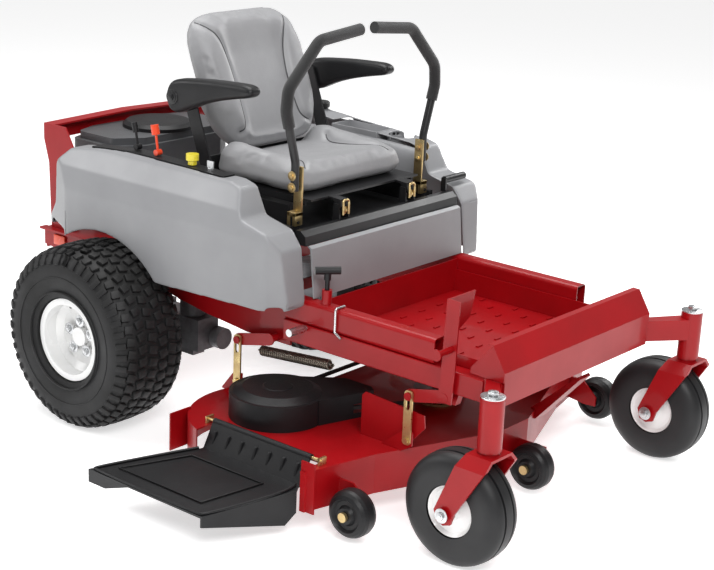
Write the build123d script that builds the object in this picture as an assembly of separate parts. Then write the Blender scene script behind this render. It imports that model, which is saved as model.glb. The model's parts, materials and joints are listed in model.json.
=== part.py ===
from build123d import *
import math
import os

# Zero turn mower. Millimetres. While the machine is laid out, x runs to the machine's left, y to its
# rear and z up, with the rear axle above y = 0 and the ground at z = 0. At export everything is moved
# so that the origin is on the ground under the centre of the whole machine's box.

# ---- running gear -------------------------------------------------------------------------------
DRIVE_TYRE_R = 254.0
DRIVE_TYRE_WIDTH = 236.0
DRIVE_WHEEL_X = 460.0
DRIVE_RIM_R = 102.0
DRIVE_RIM_WIDTH = 192.0
RIM_LIP = 12.0
RIM_WALL = 5.0
HUB_R = 58.0
AXLE_R = 16.0
LUG_CIRCLE_R = 44.0
LUG_COUNT = 5
CASTER_TYRE_R = 139.7
CASTER_TYRE_WIDTH = 100.0
CASTER_RIM_R = 62.0
CASTER_X = 452.0
CASTER_PIVOT_Y = -1313.0
CASTER_TRAIL = 68.0
BARREL_R = 28.5
BARREL_Z = (300.0, 423.0)
SPINDLE_R = 15.0
FORK_PLATE = 7.0
TYRE_GAP = 9.0
TYRE_WALL = 11.0
BEAD_GAP = 0.3
RUNNING = 0.05
SLACK = 0.4

# ---- frame --------------------------------------------------------------------------------------
RAIL_X = (290.0, 332.0)
LOWER_RAIL_Z = (349.0, 405.0)
UPPER_RAIL_Z = (405.0, 470.0)
UPPER_RAIL_Y = (-1056.0, -577.0)
RAIL_WALL = 4.0
CROSS_TUBE_Y = (-1251.0, -1201.0)
CROSS_TUBE_Z = (355.0, 410.0)
REAR_PLATE_X = (299.0, 324.0)
REAR_END_Y = 390.0
REAR_PLATE_TOP = 450.0
ENGINE_DECK_Z = 446.0
SHEET = 4.0
KICK_HALF = 323.0
KICK_TOP = (-1220.0, 494.0)
KICK_FOLD = (-1257.0, 435.0)
KICK_FOOT_Z = 352.0
PAN_HALF = 287.0
PAN_FLOOR_Z = 372.0
PAN_RIM_Z = 432.0
PAN_REAR_Y = -662.0
PAN_REAR_TOP = 462.0
GUARD_HALF = 300.0
GUARD_REAR_Y = 392.0
GUARD_TOP = 752.0
HITCH_HOLE_R = 9.5

# ---- deck ---------------------------------------------------------------------------------------
DECK_TOP = 165.0
DECK_SKIRT_Z = 62.0
DECK_SHEET = 4.0
BLADE_R = 210.0
BLADE_ROOM = 14.0
SIDE_SPINDLE = (385.0, -610.0)
CENTRE_SPINDLE = (0.0, -830.0)
BLADE_Z = 84.0
HOUSING_R = 33.0
DECK_NOSE = ((609.0, -905.0), (405.0, -952.0), (66.0, -1080.0))
OUTLET_Y = (-890.0, -535.0)
OUTLET_EDGE_X = -536.0
COVER_R = 124.0
COVER_TOP = 246.0
PULLEY_R = 62.0
PULLEY_Z = (182.0, 200.0)
SHAFT_R = 12.5
ROLLER_R = 60.0
ROLLER_WIDTH = 60.0
ROLLER_Z = 72.0
SIDE_ROLLER = (544.0, -1001.0)
CENTRE_ROLLER = (-3.0, -1145.0)
CHUTE_HINGE = (-548.0, 176.0)
CHUTE_Y = (-872.0, -548.0)
CHUTE_REACH = 846.0
CHUTE_WALL = 5.0
CHUTE_PIN_R = 4.0

# ---- deck lift ----------------------------------------------------------------------------------
LIFT_ARM = 108.0
LIFT_PIN_DROP = 25.0
LIFT_PIN_Z = 313.0
FRONT_PIN_Y = -997.0
REAR_PIN_Y = -427.0
ARM_PLATE_X = (334.0, 338.5)
LINK_X = (340.0, 345.0)
LINK_FOOT_Z = 198.0
LINK_HALF = 12.0
LIFT_PIN_R = 6.0
LIFT_SHAFT_R = 10.0
PEDAL_X = (340.0, 344.0)

# ---- body ---------------------------------------------------------------------------------------
FENDER_X = (334.0, 440.0)
FENDER_SHOULDER_X = 386.0
FENDER_SHOULDER_Z = 690.0
FENDER_TOP = 756.0
FENDER_WALL = 5.0
ARCH_R = 279.0
PANEL_HALF = 313.0
SEAT_HALF = 236.0
BACK_HALF = 216.0
BOLSTER = 84.0
SEAT_HINGE = (-590.0, 672.0)
SEAT_PAN_Z = (676.0, 694.0)
CUSHION_Z = (695.0, 768.0)
CUSHION_Y = (-532.0, -190.0)
ARM_PIVOT = (-127.0, 904.0)
ARM_X = (251.0, 296.0)
ENGINE_Y = 245.0
CONSOLE_Y = (-398.0, 100.0)
CONSOLE_PROUD = 1.5
CONSOLE_SHEET = 5.0
KNOB_X = 356.0
CHOKE_Y = -60.0
THROTTLE_Y = -137.0
PTO_Y = -265.0
KEY_Y = -331.0
CUP_CENTRE = (386.0, -372.0)
CUP_R = 38.0
CUP_FLOOR = 664.0
FILLER = (384.0, -62.0)
FILLER_HUMP = 24.0
FILLER_TOP = 784.0

# ---- steering levers ----------------------------------------------------------------------------
LEVER_Y = -540.0
LEVER_KNEE_Z = 642.0
LEVER_ROCK = 20.0
LEVER_SHAFT_R = 9.0
LEVER_ROOT_X = 264.0
HINGE_PIN_R = 4.0
LEVER_TUBE_R = 11.0
GRIP_R = 15.5
LEVER_BENDS = ((264.0, 722.0), (264.0, 795.0), (304.0, 930.0), (299.0, 985.0), (187.0, 1095.0))
BAR_END = (36.0, 1109.3)
GRIP_TIP = (28.0, 1110.0)
LEVER_BEND_R = 45.0
SLEEVE_GAP = 0.3


def block(x, y, z):
    """Box between the two values given on each axis."""
    size = [abs(v[1] - v[0]) for v in (x, y, z)]
    middle = [(v[1] + v[0]) / 2 for v in (x, y, z)]
    return Pos(*middle) * Box(*size)


def drawing_plane(axis, start):
    """Plane square to an axis: outlines are (y, z) for X, (x, z) for Y and (x, y) for Z."""
    if axis == "X":
        return Plane(origin=(start, 0, 0), x_dir=(0, 1, 0), z_dir=(1, 0, 0))
    if axis == "Y":
        return Plane(origin=(0, start, 0), x_dir=(1, 0, 0), z_dir=(0, -1, 0))
    return Plane(origin=(0, 0, start), x_dir=(1, 0, 0), z_dir=(0, 0, 1))


def closed_face(points, radius=0.0):
    """Flat face from an outline, drawn anticlockwise, with its corners rounded."""
    ahead = points[1:] + points[:1]
    turning = sum(a[0] * b[1] - b[0] * a[1] for a, b in zip(points, ahead))
    ordered = points if turning > 0 else points[::-1]
    if radius:
        return make_face(FilletPolyline(*ordered, radius=radius, close=True))
    return make_face(Polyline(*ordered, close=True))


def prism(axis, span, points, radius=0.0):
    """Outline drawn square to an axis and extruded over the span, with its corners rounded."""
    low, high = min(span), max(span)
    plane = drawing_plane(axis, high if axis == "Y" else low)
    return extrude(plane * closed_face(points, radius), amount=high - low, dir=plane.z_dir)


def rod(start, end, radius):
    """Round bar between two points."""
    start, end = Vector(*start), Vector(*end)
    run = end - start
    return Solid.make_cylinder(radius, run.length, Plane(origin=start, z_dir=run))


def tube(start, end, radius, bore):
    """Round tube between two points."""
    start, end = Vector(*start), Vector(*end)
    grow = (end - start).normalized()
    return rod(start, end, radius) - rod(start - grow, end + grow, bore)


def bent_bar(points, bends, radius):
    """Round bar along straight runs joined by tangent arcs."""
    path = FilletPolyline(*points, radius=bends)
    section = Plane(origin=path @ 0, z_dir=path % 0) * Circle(radius)
    return sweep(section, path=path)


def turned(centre, points):
    """Solid turned about the x direction through centre, from (along x, radius) points."""
    plane = Plane(origin=centre, x_dir=(1, 0, 0), z_dir=(0, -1, 0))
    return revolve(plane * closed_face(points), Axis(centre, (1, 0, 0)), 360)


def upright(centre, points):
    """Solid turned about the vertical through centre, from (radius, height) points."""
    plane = Plane(origin=centre, x_dir=(1, 0, 0), z_dir=(0, -1, 0))
    return revolve(plane * closed_face(points), Axis(centre, (0, 0, 1)), 360)


def other_side(shape):
    """The same piece on the machine's other side."""
    return mirror(shape, about=Plane.YZ)


def both_sides(shape):
    return group(shape, other_side(shape))


def group(*pieces):
    """One node of several separate solids."""
    solids = []
    for piece in pieces:
        solids += piece.solids()
    return Compound(solids)


# ---- wheels -------------------------------------------------------------------------------------
def tyre_profile(radius, width, bead, shoulder, lip):
    """Open-bottomed tyre section: outside from bead to bead, then back along the inside."""
    half = width / 2
    foot = half * 0.76
    right = [(half * 0.6, radius), (half, radius - shoulder * 0.85), (half, bead + shoulder),
             (foot, bead + lip), (foot, bead)]
    outside = [(-x, r) for x, r in reversed(right)] + right
    inside = [(foot - TYRE_WALL, bead), (half - TYRE_WALL, bead + shoulder),
              (half - TYRE_WALL, radius - shoulder * 0.85 - TYRE_WALL * 0.5),
              (half * 0.55, radius - TYRE_WALL)]
    return outside + inside + [(-x, r) for x, r in reversed(inside)]


def drive_tyre():
    centre = (DRIVE_WHEEL_X, 0, DRIVE_TYRE_R)
    return turned(centre, tyre_profile(DRIVE_TYRE_R, DRIVE_TYRE_WIDTH, DRIVE_RIM_R + BEAD_GAP, 44,
                                        RIM_LIP + 1))


def drive_rim():
    """Dished rim, its hub, five lug bolts and the axle that runs into the transaxle."""
    centre = (DRIVE_WHEEL_X, 0, DRIVE_TYRE_R)
    half = DRIVE_RIM_WIDTH / 2
    inner = DRIVE_RIM_R - RIM_WALL
    bead = half - 6
    face, dish = 42.0, 56.0
    rim = turned(centre, [(-half, inner), (-half, DRIVE_RIM_R + RIM_LIP), (-bead, DRIVE_RIM_R + RIM_LIP),
                          (-bead, DRIVE_RIM_R), (bead, DRIVE_RIM_R), (bead, DRIVE_RIM_R + RIM_LIP),
                          (half, DRIVE_RIM_R + RIM_LIP), (half, inner), (dish, inner),
                          (face, inner - 18), (face, AXLE_R + 10), (face - RIM_WALL, AXLE_R + 10),
                          (face - RIM_WALL, inner - 15), (dish - 11, inner)])
    back = face - RIM_WALL
    hub = turned(centre, [(back - 12, 0), (back - 12, HUB_R), (back, HUB_R), (back, AXLE_R + 9.7),
                          (face + 16, AXLE_R + 9.7), (face + 16, 0)])
    axle = rod((DRIVE_WHEEL_X + back - 12, 0, DRIVE_TYRE_R), (295, 0, DRIVE_TYRE_R), AXLE_R)
    lugs = []
    for number in range(LUG_COUNT):
        turn = math.radians(360 / LUG_COUNT * number + 18)
        y = LUG_CIRCLE_R * math.cos(turn)
        z = DRIVE_TYRE_R + LUG_CIRCLE_R * math.sin(turn)
        lugs.append(rod((DRIVE_WHEEL_X + face, y, z), (DRIVE_WHEEL_X + face + 11, y, z), 9.5))
    return group(rim, hub, axle, *lugs)


def caster_axle_point():
    return (CASTER_X, CASTER_PIVOT_Y + CASTER_TRAIL, CASTER_TYRE_R)


def caster_tyre():
    return turned(caster_axle_point(), tyre_profile(CASTER_TYRE_R, CASTER_TYRE_WIDTH,
                                                    CASTER_RIM_R + BEAD_GAP, 24, 1))


def caster_rim():
    half = CASTER_TYRE_WIDTH / 2 - 8
    bore = AXLE_R - 3
    section = [(-half, bore), (-half - 6, bore), (-half - 6, bore + 8), (-half + 8, bore + 10),
               (-half + 8, CASTER_RIM_R - 8), (-half, CASTER_RIM_R), (half, CASTER_RIM_R),
               (half - 8, CASTER_RIM_R - 8), (half - 8, bore + 10), (half + 6, bore + 8),
               (half + 6, bore)]
    return turned(caster_axle_point(), section)


def caster_fork():
    """Bent yoke with raked legs, spindle with its cap, and the wheel's axle bolt."""
    x, y, z = caster_axle_point()
    leg = CASTER_TYRE_WIDTH / 2 + TYRE_GAP
    yoke = BARREL_Z[0] - 6
    shoulder = 26.0
    outer = [(-leg - FORK_PLATE, z - 30), (-leg - FORK_PLATE, yoke - shoulder),
             (-leg - FORK_PLATE + shoulder, yoke), (leg + FORK_PLATE - shoulder, yoke),
             (leg + FORK_PLATE, yoke - shoulder), (leg + FORK_PLATE, z - 30)]
    inner = [(leg, z - 30), (leg, yoke - shoulder - 3), (leg - shoulder + 3, yoke - FORK_PLATE),
             (-leg + shoulder - 3, yoke - FORK_PLATE), (-leg, yoke - shoulder - 3), (-leg, z - 30)]
    band = prism("Y", (CASTER_PIVOT_Y - 60, y + 60), [(CASTER_X + px, pz) for px, pz in outer + inner])
    pivot_y = CASTER_PIVOT_Y
    side = prism("X", (CASTER_X - leg - 20, CASTER_X + leg + 20),
                 [(pivot_y - 36, yoke + 1), (pivot_y - 36, yoke - 22), (y - 28, z + 6), (y - 20, z - 20),
                  (y, z - 27), (y + 20, z - 20), (y + 28, z + 6), (pivot_y + 44, yoke - 22),
                  (pivot_y + 34, yoke + 1)])
    yoke_strap = band & side
    washer = rod((CASTER_X, pivot_y, yoke), (CASTER_X, pivot_y, BARREL_Z[0] - SLACK), BARREL_R - 3)
    spindle = rod((CASTER_X, pivot_y, yoke - FORK_PLATE), (CASTER_X, pivot_y, BARREL_Z[1] + 5), SPINDLE_R)
    cap = rod((CASTER_X, pivot_y, BARREL_Z[1] + SLACK), (CASTER_X, pivot_y, BARREL_Z[1] + 5), BARREL_R)
    nut = rod((CASTER_X, pivot_y, BARREL_Z[1] + 5), (CASTER_X, pivot_y, BARREL_Z[1] + 14), 11)
    fork = yoke_strap + washer + spindle + cap + nut
    axle = rod((x - leg, y, z), (x + leg, y, z), AXLE_R - 3 - RUNNING)
    heads = [rod((x + s * (leg + FORK_PLATE), y, z), (x + s * (leg + FORK_PLATE + 8), y, z), 10)
             for s in (-1, 1)]
    return group(fork, axle, *heads)


# ---- frame --------------------------------------------------------------------------------------
def hollow_bar(x, y, z, wall, corner):
    """Rectangular tube along y with rounded corners."""
    outer = prism("Y", y, [(x[0], z[0]), (x[1], z[0]), (x[1], z[1]), (x[0], z[1])], corner)
    inner = block((x[0] + wall, x[1] - wall), (y[0] - 1, y[1] + 1), (z[0] + wall, z[1] - wall))
    return outer - inner


def lift_pivot(pin_y):
    """Point (y, z) of the lift shaft whose arms end at pin_y."""
    return pin_y - math.sqrt(LIFT_ARM ** 2 - LIFT_PIN_DROP ** 2), LIFT_PIN_Z + LIFT_PIN_DROP


def lower_rails():
    """Side tubes of the front frame, with the bearing ears of the front lift shaft."""
    rail = hollow_bar(RAIL_X, (CROSS_TUBE_Y[1], UPPER_RAIL_Y[1]), LOWER_RAIL_Z, RAIL_WALL, 3)
    y, z = lift_pivot(FRONT_PIN_Y)
    top = LOWER_RAIL_Z[0]
    ear = prism("X", (RAIL_X[0] + 8, RAIL_X[1] - 12), [(y - 26, top), (y - 16, z - 22), (y + 16, z - 22),
                                                       (y + 26, top)])
    ear -= rod((0, y, z), (400, y, z), LIFT_SHAFT_R + RUNNING)
    return both_sides(rail + ear)


def upper_rails():
    """Rounded side tubes, with the socket of the height pin on the right one."""
    rail = hollow_bar(RAIL_X, UPPER_RAIL_Y, UPPER_RAIL_Z, RAIL_WALL, 12)
    top = UPPER_RAIL_Z[1]
    middle = (RAIL_X[0] + RAIL_X[1]) / 2
    socket = tube((-middle, -700, top), (-middle, -700, top + 36), 13, 6 + RUNNING)
    return group(rail, other_side(rail) - rod((-middle, -700, top - 9), (-middle, -700, top + 1), 7),
                 socket)


def front_axle():
    """Cross tube behind the kick panel, swept arms and the caster barrels."""
    root = KICK_HALF + SHEET + 1
    cross = prism("X", (-root, root),
                  [(CROSS_TUBE_Y[0], CROSS_TUBE_Z[0]), (CROSS_TUBE_Y[1], CROSS_TUBE_Z[0]),
                   (CROSS_TUBE_Y[1], CROSS_TUBE_Z[1]), (CROSS_TUBE_Y[0], CROSS_TUBE_Z[1])], 5)
    arm = prism("Z", CROSS_TUBE_Z,
                [(root, CROSS_TUBE_Y[1] - 6), (CASTER_X + 6, CASTER_PIVOT_Y + 22),
                 (CASTER_X - 16, CASTER_PIVOT_Y - 18), (root, CROSS_TUBE_Y[0] + 6)])
    cross -= block((-root + 1, root - 1), (CROSS_TUBE_Y[0] + RAIL_WALL, CROSS_TUBE_Y[1] - RAIL_WALL),
                   (CROSS_TUBE_Z[0] + RAIL_WALL, CROSS_TUBE_Z[1] - RAIL_WALL))
    low, high = BARREL_Z
    barrel = rod((CASTER_X, CASTER_PIVOT_Y, low), (CASTER_X, CASTER_PIVOT_Y, high), BARREL_R)
    bore = rod((CASTER_X, CASTER_PIVOT_Y, low - 1), (CASTER_X, CASTER_PIVOT_Y, high + 1),
               SPINDLE_R + RUNNING)
    side = arm + barrel - bore
    return cross + side + other_side(side)


def rear_frame():
    """Rear side plates, engine deck, tail plate with its hitch hole, and axle carriers."""
    inner, outer = REAR_PLATE_X
    side = prism("X", (inner, inner + 6),
                 [(UPPER_RAIL_Y[1], 325), (-423, 325), (-274, 340), (-140, 362), (-60, 330),
                  (60, 330), (140, 366), (REAR_END_Y, 396), (REAR_END_Y, REAR_PLATE_TOP),
                  (UPPER_RAIL_Y[1], REAR_PLATE_TOP)])
    lip = block((inner + 6, outer), (-480, REAR_END_Y), (REAR_PLATE_TOP - 6, REAR_PLATE_TOP))
    joint = block((inner, outer), (UPPER_RAIL_Y[1], UPPER_RAIL_Y[1] + 30), (405, REAR_PLATE_TOP - 6))
    y, z = lift_pivot(REAR_PIN_Y)
    side -= rod((0, y, z), (400, y, z), LIFT_SHAFT_R + RUNNING)
    plates = both_sides(side + lip + joint)
    deck = block((-inner, inner), (60, REAR_END_Y), (ENGINE_DECK_Z - 6, ENGINE_DECK_Z))
    tail = block((-inner, inner), (REAR_END_Y - 8, REAR_END_Y), (386, ENGINE_DECK_Z - 6))
    hitch = block((-60, 60), (REAR_END_Y - 8, REAR_END_Y + 52), (386, 396))
    hitch -= rod((0, REAR_END_Y + 26, 380), (0, REAR_END_Y + 26, 400), HITCH_HOLE_R)
    bulkhead = block((-inner, inner), (-480, -474), (420, REAR_PLATE_TOP))
    frame = deck + tail + hitch
    return group(frame, bulkhead, *plates.solids())


def foot_pan():
    """Floor tray with raised side and rear walls."""
    half, floor = PAN_HALF, PAN_FLOOR_Z
    front = CROSS_TUBE_Y[1] + 1
    tray = block((-half, half), (front, PAN_REAR_Y), (floor - SHEET, floor))
    for side in (-1, 1):
        tray += block((side * (half - SHEET), side * half), (front, PAN_REAR_Y), (floor, PAN_RIM_Z))
    tray += block((-half, half), (PAN_REAR_Y - SHEET, PAN_REAR_Y), (floor, PAN_REAR_TOP))
    for row in range(9):
        for column in range(7):
            x = -240 + 80 * column + (20 if row % 2 else -20)
            y = PAN_REAR_Y - 60 - 55 * row
            tray += Pos(x, y, floor + 1.5) * Box(22, 7, 3.2)
    return tray


def kick_panel():
    """Folded front panel with end gussets that close the foot well."""
    foot = (KICK_FOLD[0] + 1.5, KICK_FOOT_Z)
    line = [KICK_TOP, KICK_FOLD, foot]
    back = [(foot[0] + SHEET, foot[1]), (KICK_FOLD[0] + SHEET, KICK_FOLD[1] - 1),
            (KICK_TOP[0] + SHEET * 1.4, KICK_TOP[1] - 1)]
    sheet = prism("X", (-KICK_HALF, KICK_HALF), line + back)
    lip = prism("X", (-KICK_HALF, KICK_HALF),
                [KICK_TOP, (KICK_TOP[0] + SHEET * 1.4, KICK_TOP[1] - 1),
                 (KICK_TOP[0] + 18, KICK_TOP[1] - 3), (KICK_TOP[0] + 16, KICK_TOP[1] + 1)])
    rear = CROSS_TUBE_Y[1] + 60
    gusset = prism("X", (KICK_HALF, KICK_HALF + SHEET),
                   [(KICK_TOP[0], KICK_TOP[1]), (KICK_FOLD[0], KICK_FOLD[1]),
                    (KICK_FOLD[0] + 1, CROSS_TUBE_Z[1] + 1), (CROSS_TUBE_Y[1], CROSS_TUBE_Z[1] + 1),
                    (rear - 20, LOWER_RAIL_Z[1] + 8), (rear - 20, LOWER_RAIL_Z[1] + 22)])
    return sheet + lip + gusset + other_side(gusset)


def rear_guard():
    """Engine guard: two side plates and the channel across their tops."""
    half = GUARD_HALF
    plate = prism("X", (half - 5, half),
                  [(300, REAR_PLATE_TOP), (365, REAR_PLATE_TOP), (372, 640), (GUARD_REAR_Y, GUARD_TOP - 45),
                   (GUARD_REAR_Y, GUARD_TOP), (300, GUARD_TOP), (268, 700), (296, 640)])
    crown = 8.0
    face = [(-half + 5, GUARD_TOP - 52), (0, GUARD_TOP - 52 + crown), (half - 5, GUARD_TOP - 52),
            (half - 5, GUARD_TOP), (0, GUARD_TOP + crown), (-half + 5, GUARD_TOP)]
    rear = prism("Y", (GUARD_REAR_Y - 5, GUARD_REAR_Y), face)
    shelf = [(-half + 5, GUARD_TOP - 5), (0, GUARD_TOP - 5 + crown), (half - 5, GUARD_TOP - 5),
             (half - 5, GUARD_TOP), (0, GUARD_TOP + crown), (-half + 5, GUARD_TOP)]
    top = prism("Y", (GUARD_REAR_Y - 42, GUARD_REAR_Y - 5), shelf)
    foot = block((half - 50, half - 5), (300, 365), (REAR_PLATE_TOP, REAR_PLATE_TOP + 5))
    return rear + top + plate + other_side(plate) + foot + other_side(foot)


# ---- body panels --------------------------------------------------------------------------------
def fender_side(grow, hump):
    """Side outline (y, z) of the fender, moved inwards by grow, with its rear top raised by hump."""
    return [(-652 + grow, 452 + grow), (-300, 440 + grow), (0, 432 + grow), (210, 500 + grow),
            (272 - 2 * grow, 506 + grow), (214 - grow, 574), (204 - grow, 690 - grow), (160, 733 - grow),
            (60, 746 + hump - grow), (-60, FENDER_TOP + hump - grow),
            (-180, FENDER_TOP - 3 + hump / 2 - grow), (-440, FENDER_TOP - 8 - grow),
            (-478 + grow, 738 - grow), (-512 + grow, 668 - grow), (-600 + grow, 648 - grow),
            (-634 + grow, 606 - grow)]


def fender_solid(grow, inner_x, hump=0.0):
    """Fender volume moved inwards by grow, from inner_x out to the side wall."""
    outer = FENDER_X[1] - grow
    soft = max(14 - grow, 4)
    side = prism("X", (inner_x, outer), fender_side(grow, hump), soft)
    top = FENDER_TOP + hump
    section = prism("Y", (-700, 400),
                    [(inner_x - 60, 300), (outer, 300), (outer, FENDER_SHOULDER_Z - 60),
                     (outer - 12, FENDER_SHOULDER_Z), (FENDER_SHOULDER_X + 8 + hump, top - grow - 12),
                     (FENDER_SHOULDER_X - 14 + hump, top - grow + 2), (inner_x - 60, top - grow + 2)], soft - 2)
    nose = prism("Z", (400, top + 2),
                 [(inner_x - 80, -656 + grow), (FENDER_X[1] - 44, -656 + grow), (outer, -604 + grow),
                  (outer, 140), (FENDER_X[1] - 46, 262 - grow), (inner_x - 80, 276 - grow)], 2 * soft)
    return side & section & nose


def fender_shell(hump=0.0):
    """Moulded side pod: open underneath and towards the machine, with the wheel arch cut out."""
    shell = fender_solid(0, FENDER_X[0], hump) - fender_solid(FENDER_WALL, FENDER_X[0] - 10, hump)
    shell -= rod((FENDER_X[0] - 20, 0, DRIVE_TYRE_R), (FENDER_X[1] + 20, 0, DRIVE_TYRE_R), ARCH_R)
    shell -= prism("X", (FENDER_X[0] - 20, FENDER_X[1] - FENDER_WALL),
                   [(-640, 400), (-640, 462), (-250, 452), (235, 520), (262, 400)])
    return max(shell.solids(), key=lambda piece: piece.volume)


def console_top(y):
    """Height of the control plate's top face at y, along the fender's sloping top."""
    slope = 0.021 if y < -60 else -0.083
    return FENDER_TOP + CONSOLE_PROUD + slope * (y + 60)


def fender_right():
    shell = other_side(fender_shell())
    slot = prism("Z", (700, 800), [(-FENDER_X[0] + 10, CONSOLE_Y[0]), (-FENDER_SHOULDER_X + 8, CONSOLE_Y[0]),
                                   (-FENDER_SHOULDER_X + 8, CONSOLE_Y[1]), (-FENDER_X[0] + 10, CONSOLE_Y[1])])
    return max((shell - slot).solids(), key=lambda piece: piece.volume)


def fender_left():
    """Left pod with a cup holder and tray moulded into its top, and the fuel filler neck."""
    shell = fender_shell(FILLER_HUMP)
    whole = fender_solid(0, FENDER_X[0], FILLER_HUMP)
    cup = rod((*CUP_CENTRE, CUP_FLOOR - 4), (*CUP_CENTRE, 742), CUP_R + 5) & whole
    tray = block((FENDER_X[0] + 4, 414), (-322, -150), (712, 744)) & whole
    neck = rod((*FILLER, 740), (*FILLER, FILLER_TOP), 22)
    shell = shell + cup + tray + neck
    shell -= rod((*CUP_CENTRE, CUP_FLOOR), (*CUP_CENTRE, 800), CUP_R)
    shell -= block((FENDER_X[0] - 4, 408), (-316, -156), (718, 800))
    shell -= rod((*FILLER, 700), (*FILLER, FILLER_TOP + 1), 17)
    return max(shell.solids(), key=lambda piece: piece.volume)


def front_panel():
    """Bulkhead under the seat, rolled back at its top edge."""
    line = [(-660, 473), (-646, 600), (-636, 606), (-632, 604), (-641, 597), (-656, 473)]
    return prism("X", (-PANEL_HALF, PANEL_HALF), line)


def seat_support():
    """Black box under the seat, its front ledges and the lever bearings on its cheeks."""
    half = 318.0
    ledge = prism("X", (-half, half), [(-630, 604), (-628, 628), (-612, 640), (-600, 640), (-600, 604)])
    box = block((-half, half), (-596, -120), (604, 610))
    for side in (-1, 1):
        box += block((side * 240, side * 236), (-500, -140), (610, 672))
    box += block((-240, 240), (-144, -140), (610, 672))
    y, z = SEAT_HINGE
    support = ledge + box + block((-half, half), (-600, -596), (604, 640))
    bearing_z = LEVER_KNEE_Z - LEVER_ROCK
    for side in (-1, 1):
        for near in (118, 154):
            support += prism("X", (side * near, side * (near + 4)),
                             [(-604, 636), (-578, 636), (y + 8, z + 8), (y - 8, z + 8)])
        support += rod((side * 120, y, z), (side * 156, y, z), HINGE_PIN_R)
        bearing = block((side * 284, side * 300), (LEVER_Y - 16, LEVER_Y + 16), (610, bearing_z + 14))
        support += bearing - rod((side * 280, LEVER_Y, bearing_z), (side * 304, LEVER_Y, bearing_z),
                                 LEVER_SHAFT_R + RUNNING)
        for leg_y in (-465, -200):
            support += block((side * 299, side * 305), (leg_y, leg_y + 30), (REAR_PLATE_TOP, 604))
    stem = block((300, 306), (-600, -584), (638, 676))
    damper = rod((306, -590, 670), (396, -590, 670), 10)
    return group(support + stem, damper)


def console_plate():
    line = [(y, console_top(y)) for y in (CONSOLE_Y[0] + 1, -60, CONSOLE_Y[1] - 1)]
    under = [(y, z - CONSOLE_SHEET) for y, z in reversed(line)]
    return prism("X", (-FENDER_SHOULDER_X + 9, -FENDER_X[0] - 1), line + under)


# ---- engine and drive ---------------------------------------------------------------------------
def engine_block():
    """Crankcase and two cylinders of the vertical-shaft V-twin, with the drive pulley below."""
    y = ENGINE_Y
    case = block((-130, 130), (y - 115, y + 75), (ENGINE_DECK_Z, 606))
    parts = [case]
    for side in (-1, 1):
        for fin in range(7):
            x = side * (136 + 13 * fin)
            parts.append(block((x, x + side * 7), (y + 4, y + 106), (500, 590)))
        parts.append(block((side * 130, side * 230), (y + 20, y + 90), (512, 578)))
    engine = parts[0]
    for part in parts[1:]:
        engine += part
    shaft = rod((0, y, ENGINE_DECK_Z - 70), (0, y, ENGINE_DECK_Z - 6.5), 14)
    pulley = rod((0, y, ENGINE_DECK_Z - 70), (0, y, ENGINE_DECK_Z - 40), 62)
    return group(engine, shaft + pulley)


def engine_shroud():
    """Blower housing over the engine."""
    y = ENGINE_Y
    body = prism("Z", (607, 708), [(-236, y - 60), (-150, y - 118), (150, y - 118), (236, y - 60),
                                   (236, y + 96), (150, y + 128), (-150, y + 128), (-236, y + 96)], 22)
    lid = prism("Z", (708, 728), [(-222, y - 54), (-142, y - 106), (142, y - 106), (222, y - 54),
                                  (222, y + 86), (142, y + 116), (-142, y + 116), (-222, y + 86)], 20)
    hollow = prism("Z", (600, 700), [(-228, y - 56), (-146, y - 110), (146, y - 110), (228, y - 56),
                                     (228, y + 92), (146, y + 120), (-146, y + 120), (-228, y + 92)], 18)
    return body + lid - hollow


def fan_screen():
    y = ENGINE_Y - 10
    return upright((0, y, 0), [(0, 728.5), (104, 728.5), (104, 738), (92, 747), (0, 747)])


def muffler():
    """Silencer can across the back of the engine, with its outlet stub."""
    y, z = REAR_END_Y - 39, 500.0
    can = rod((-124, y, z), (124, y, z), 29)
    return can + rod((124, y, z - 15), (170, y, z - 15), 10)


def transaxles():
    """Hydraulic pump and wheel motor castings, one per side, bored for the drive axle."""
    z = DRIVE_TYRE_R
    motor = block((210, 300), (-62, 70), (z - 62, z + 62))
    motor += rod((300, 0, z), (334, 0, z), 44)
    motor += block((214, 292), (-230, -62), (z - 40, z + 50))
    motor += rod((252, -170, z + 50), (252, -170, z + 96), 36)
    motor += rod((252, -170, z + 96), (252, -170, z + 104), 44)
    motor += rod((222, -232, z - 10), (222, -262, z - 10), 30)
    motor += block((232, 276), (-196, -150), (z - 62, z - 40))
    motor -= rod((294, 0, z), (340, 0, z), AXLE_R + RUNNING)
    return both_sides(motor)


# ---- seat ---------------------------------------------------------------------------------------
def seat_pan():
    """Tilting seat plate with its side flanges, back support and hinge loops."""
    low, high = SEAT_PAN_Z
    y_hinge, z_hinge = SEAT_HINGE
    rear = -182
    pan = block((-222, 222), (-560, rear), (high - 5, high))
    pan += block((-222, 222), (rear - 4, rear), (high - 5, 742))
    for side in (-1, 1):
        pan += block((side * 222, side * 217), (-540, rear), (low, high - 5))
        strap = prism("X", (side * 124, side * 152),
                      [(-560, high - 5), (-560, high), (y_hinge - 9, high - 3), (y_hinge - 12, z_hinge),
                       (y_hinge - 6, z_hinge - 9), (y_hinge + 6, z_hinge - 9), (y_hinge + 12, high - 8)])
        pan += strap - rod((side * 100, y_hinge, z_hinge), (side * 160, y_hinge, z_hinge),
                           HINGE_PIN_R + RUNNING)
        post = prism("X", (side * 241, side * 246),
                     [(-196, 676), (-196, high), (-104, 930), (-148, 930), (-240, high), (-240, 676)])
        bridge = block((side * 222, side * 246), (-240, -196), (low, high - 5))
        pan += post + bridge
        pan += rod((side * 246, ARM_PIVOT[0], ARM_PIVOT[1]), (side * 281, ARM_PIVOT[0], ARM_PIVOT[1]), 8)
    return pan


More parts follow.
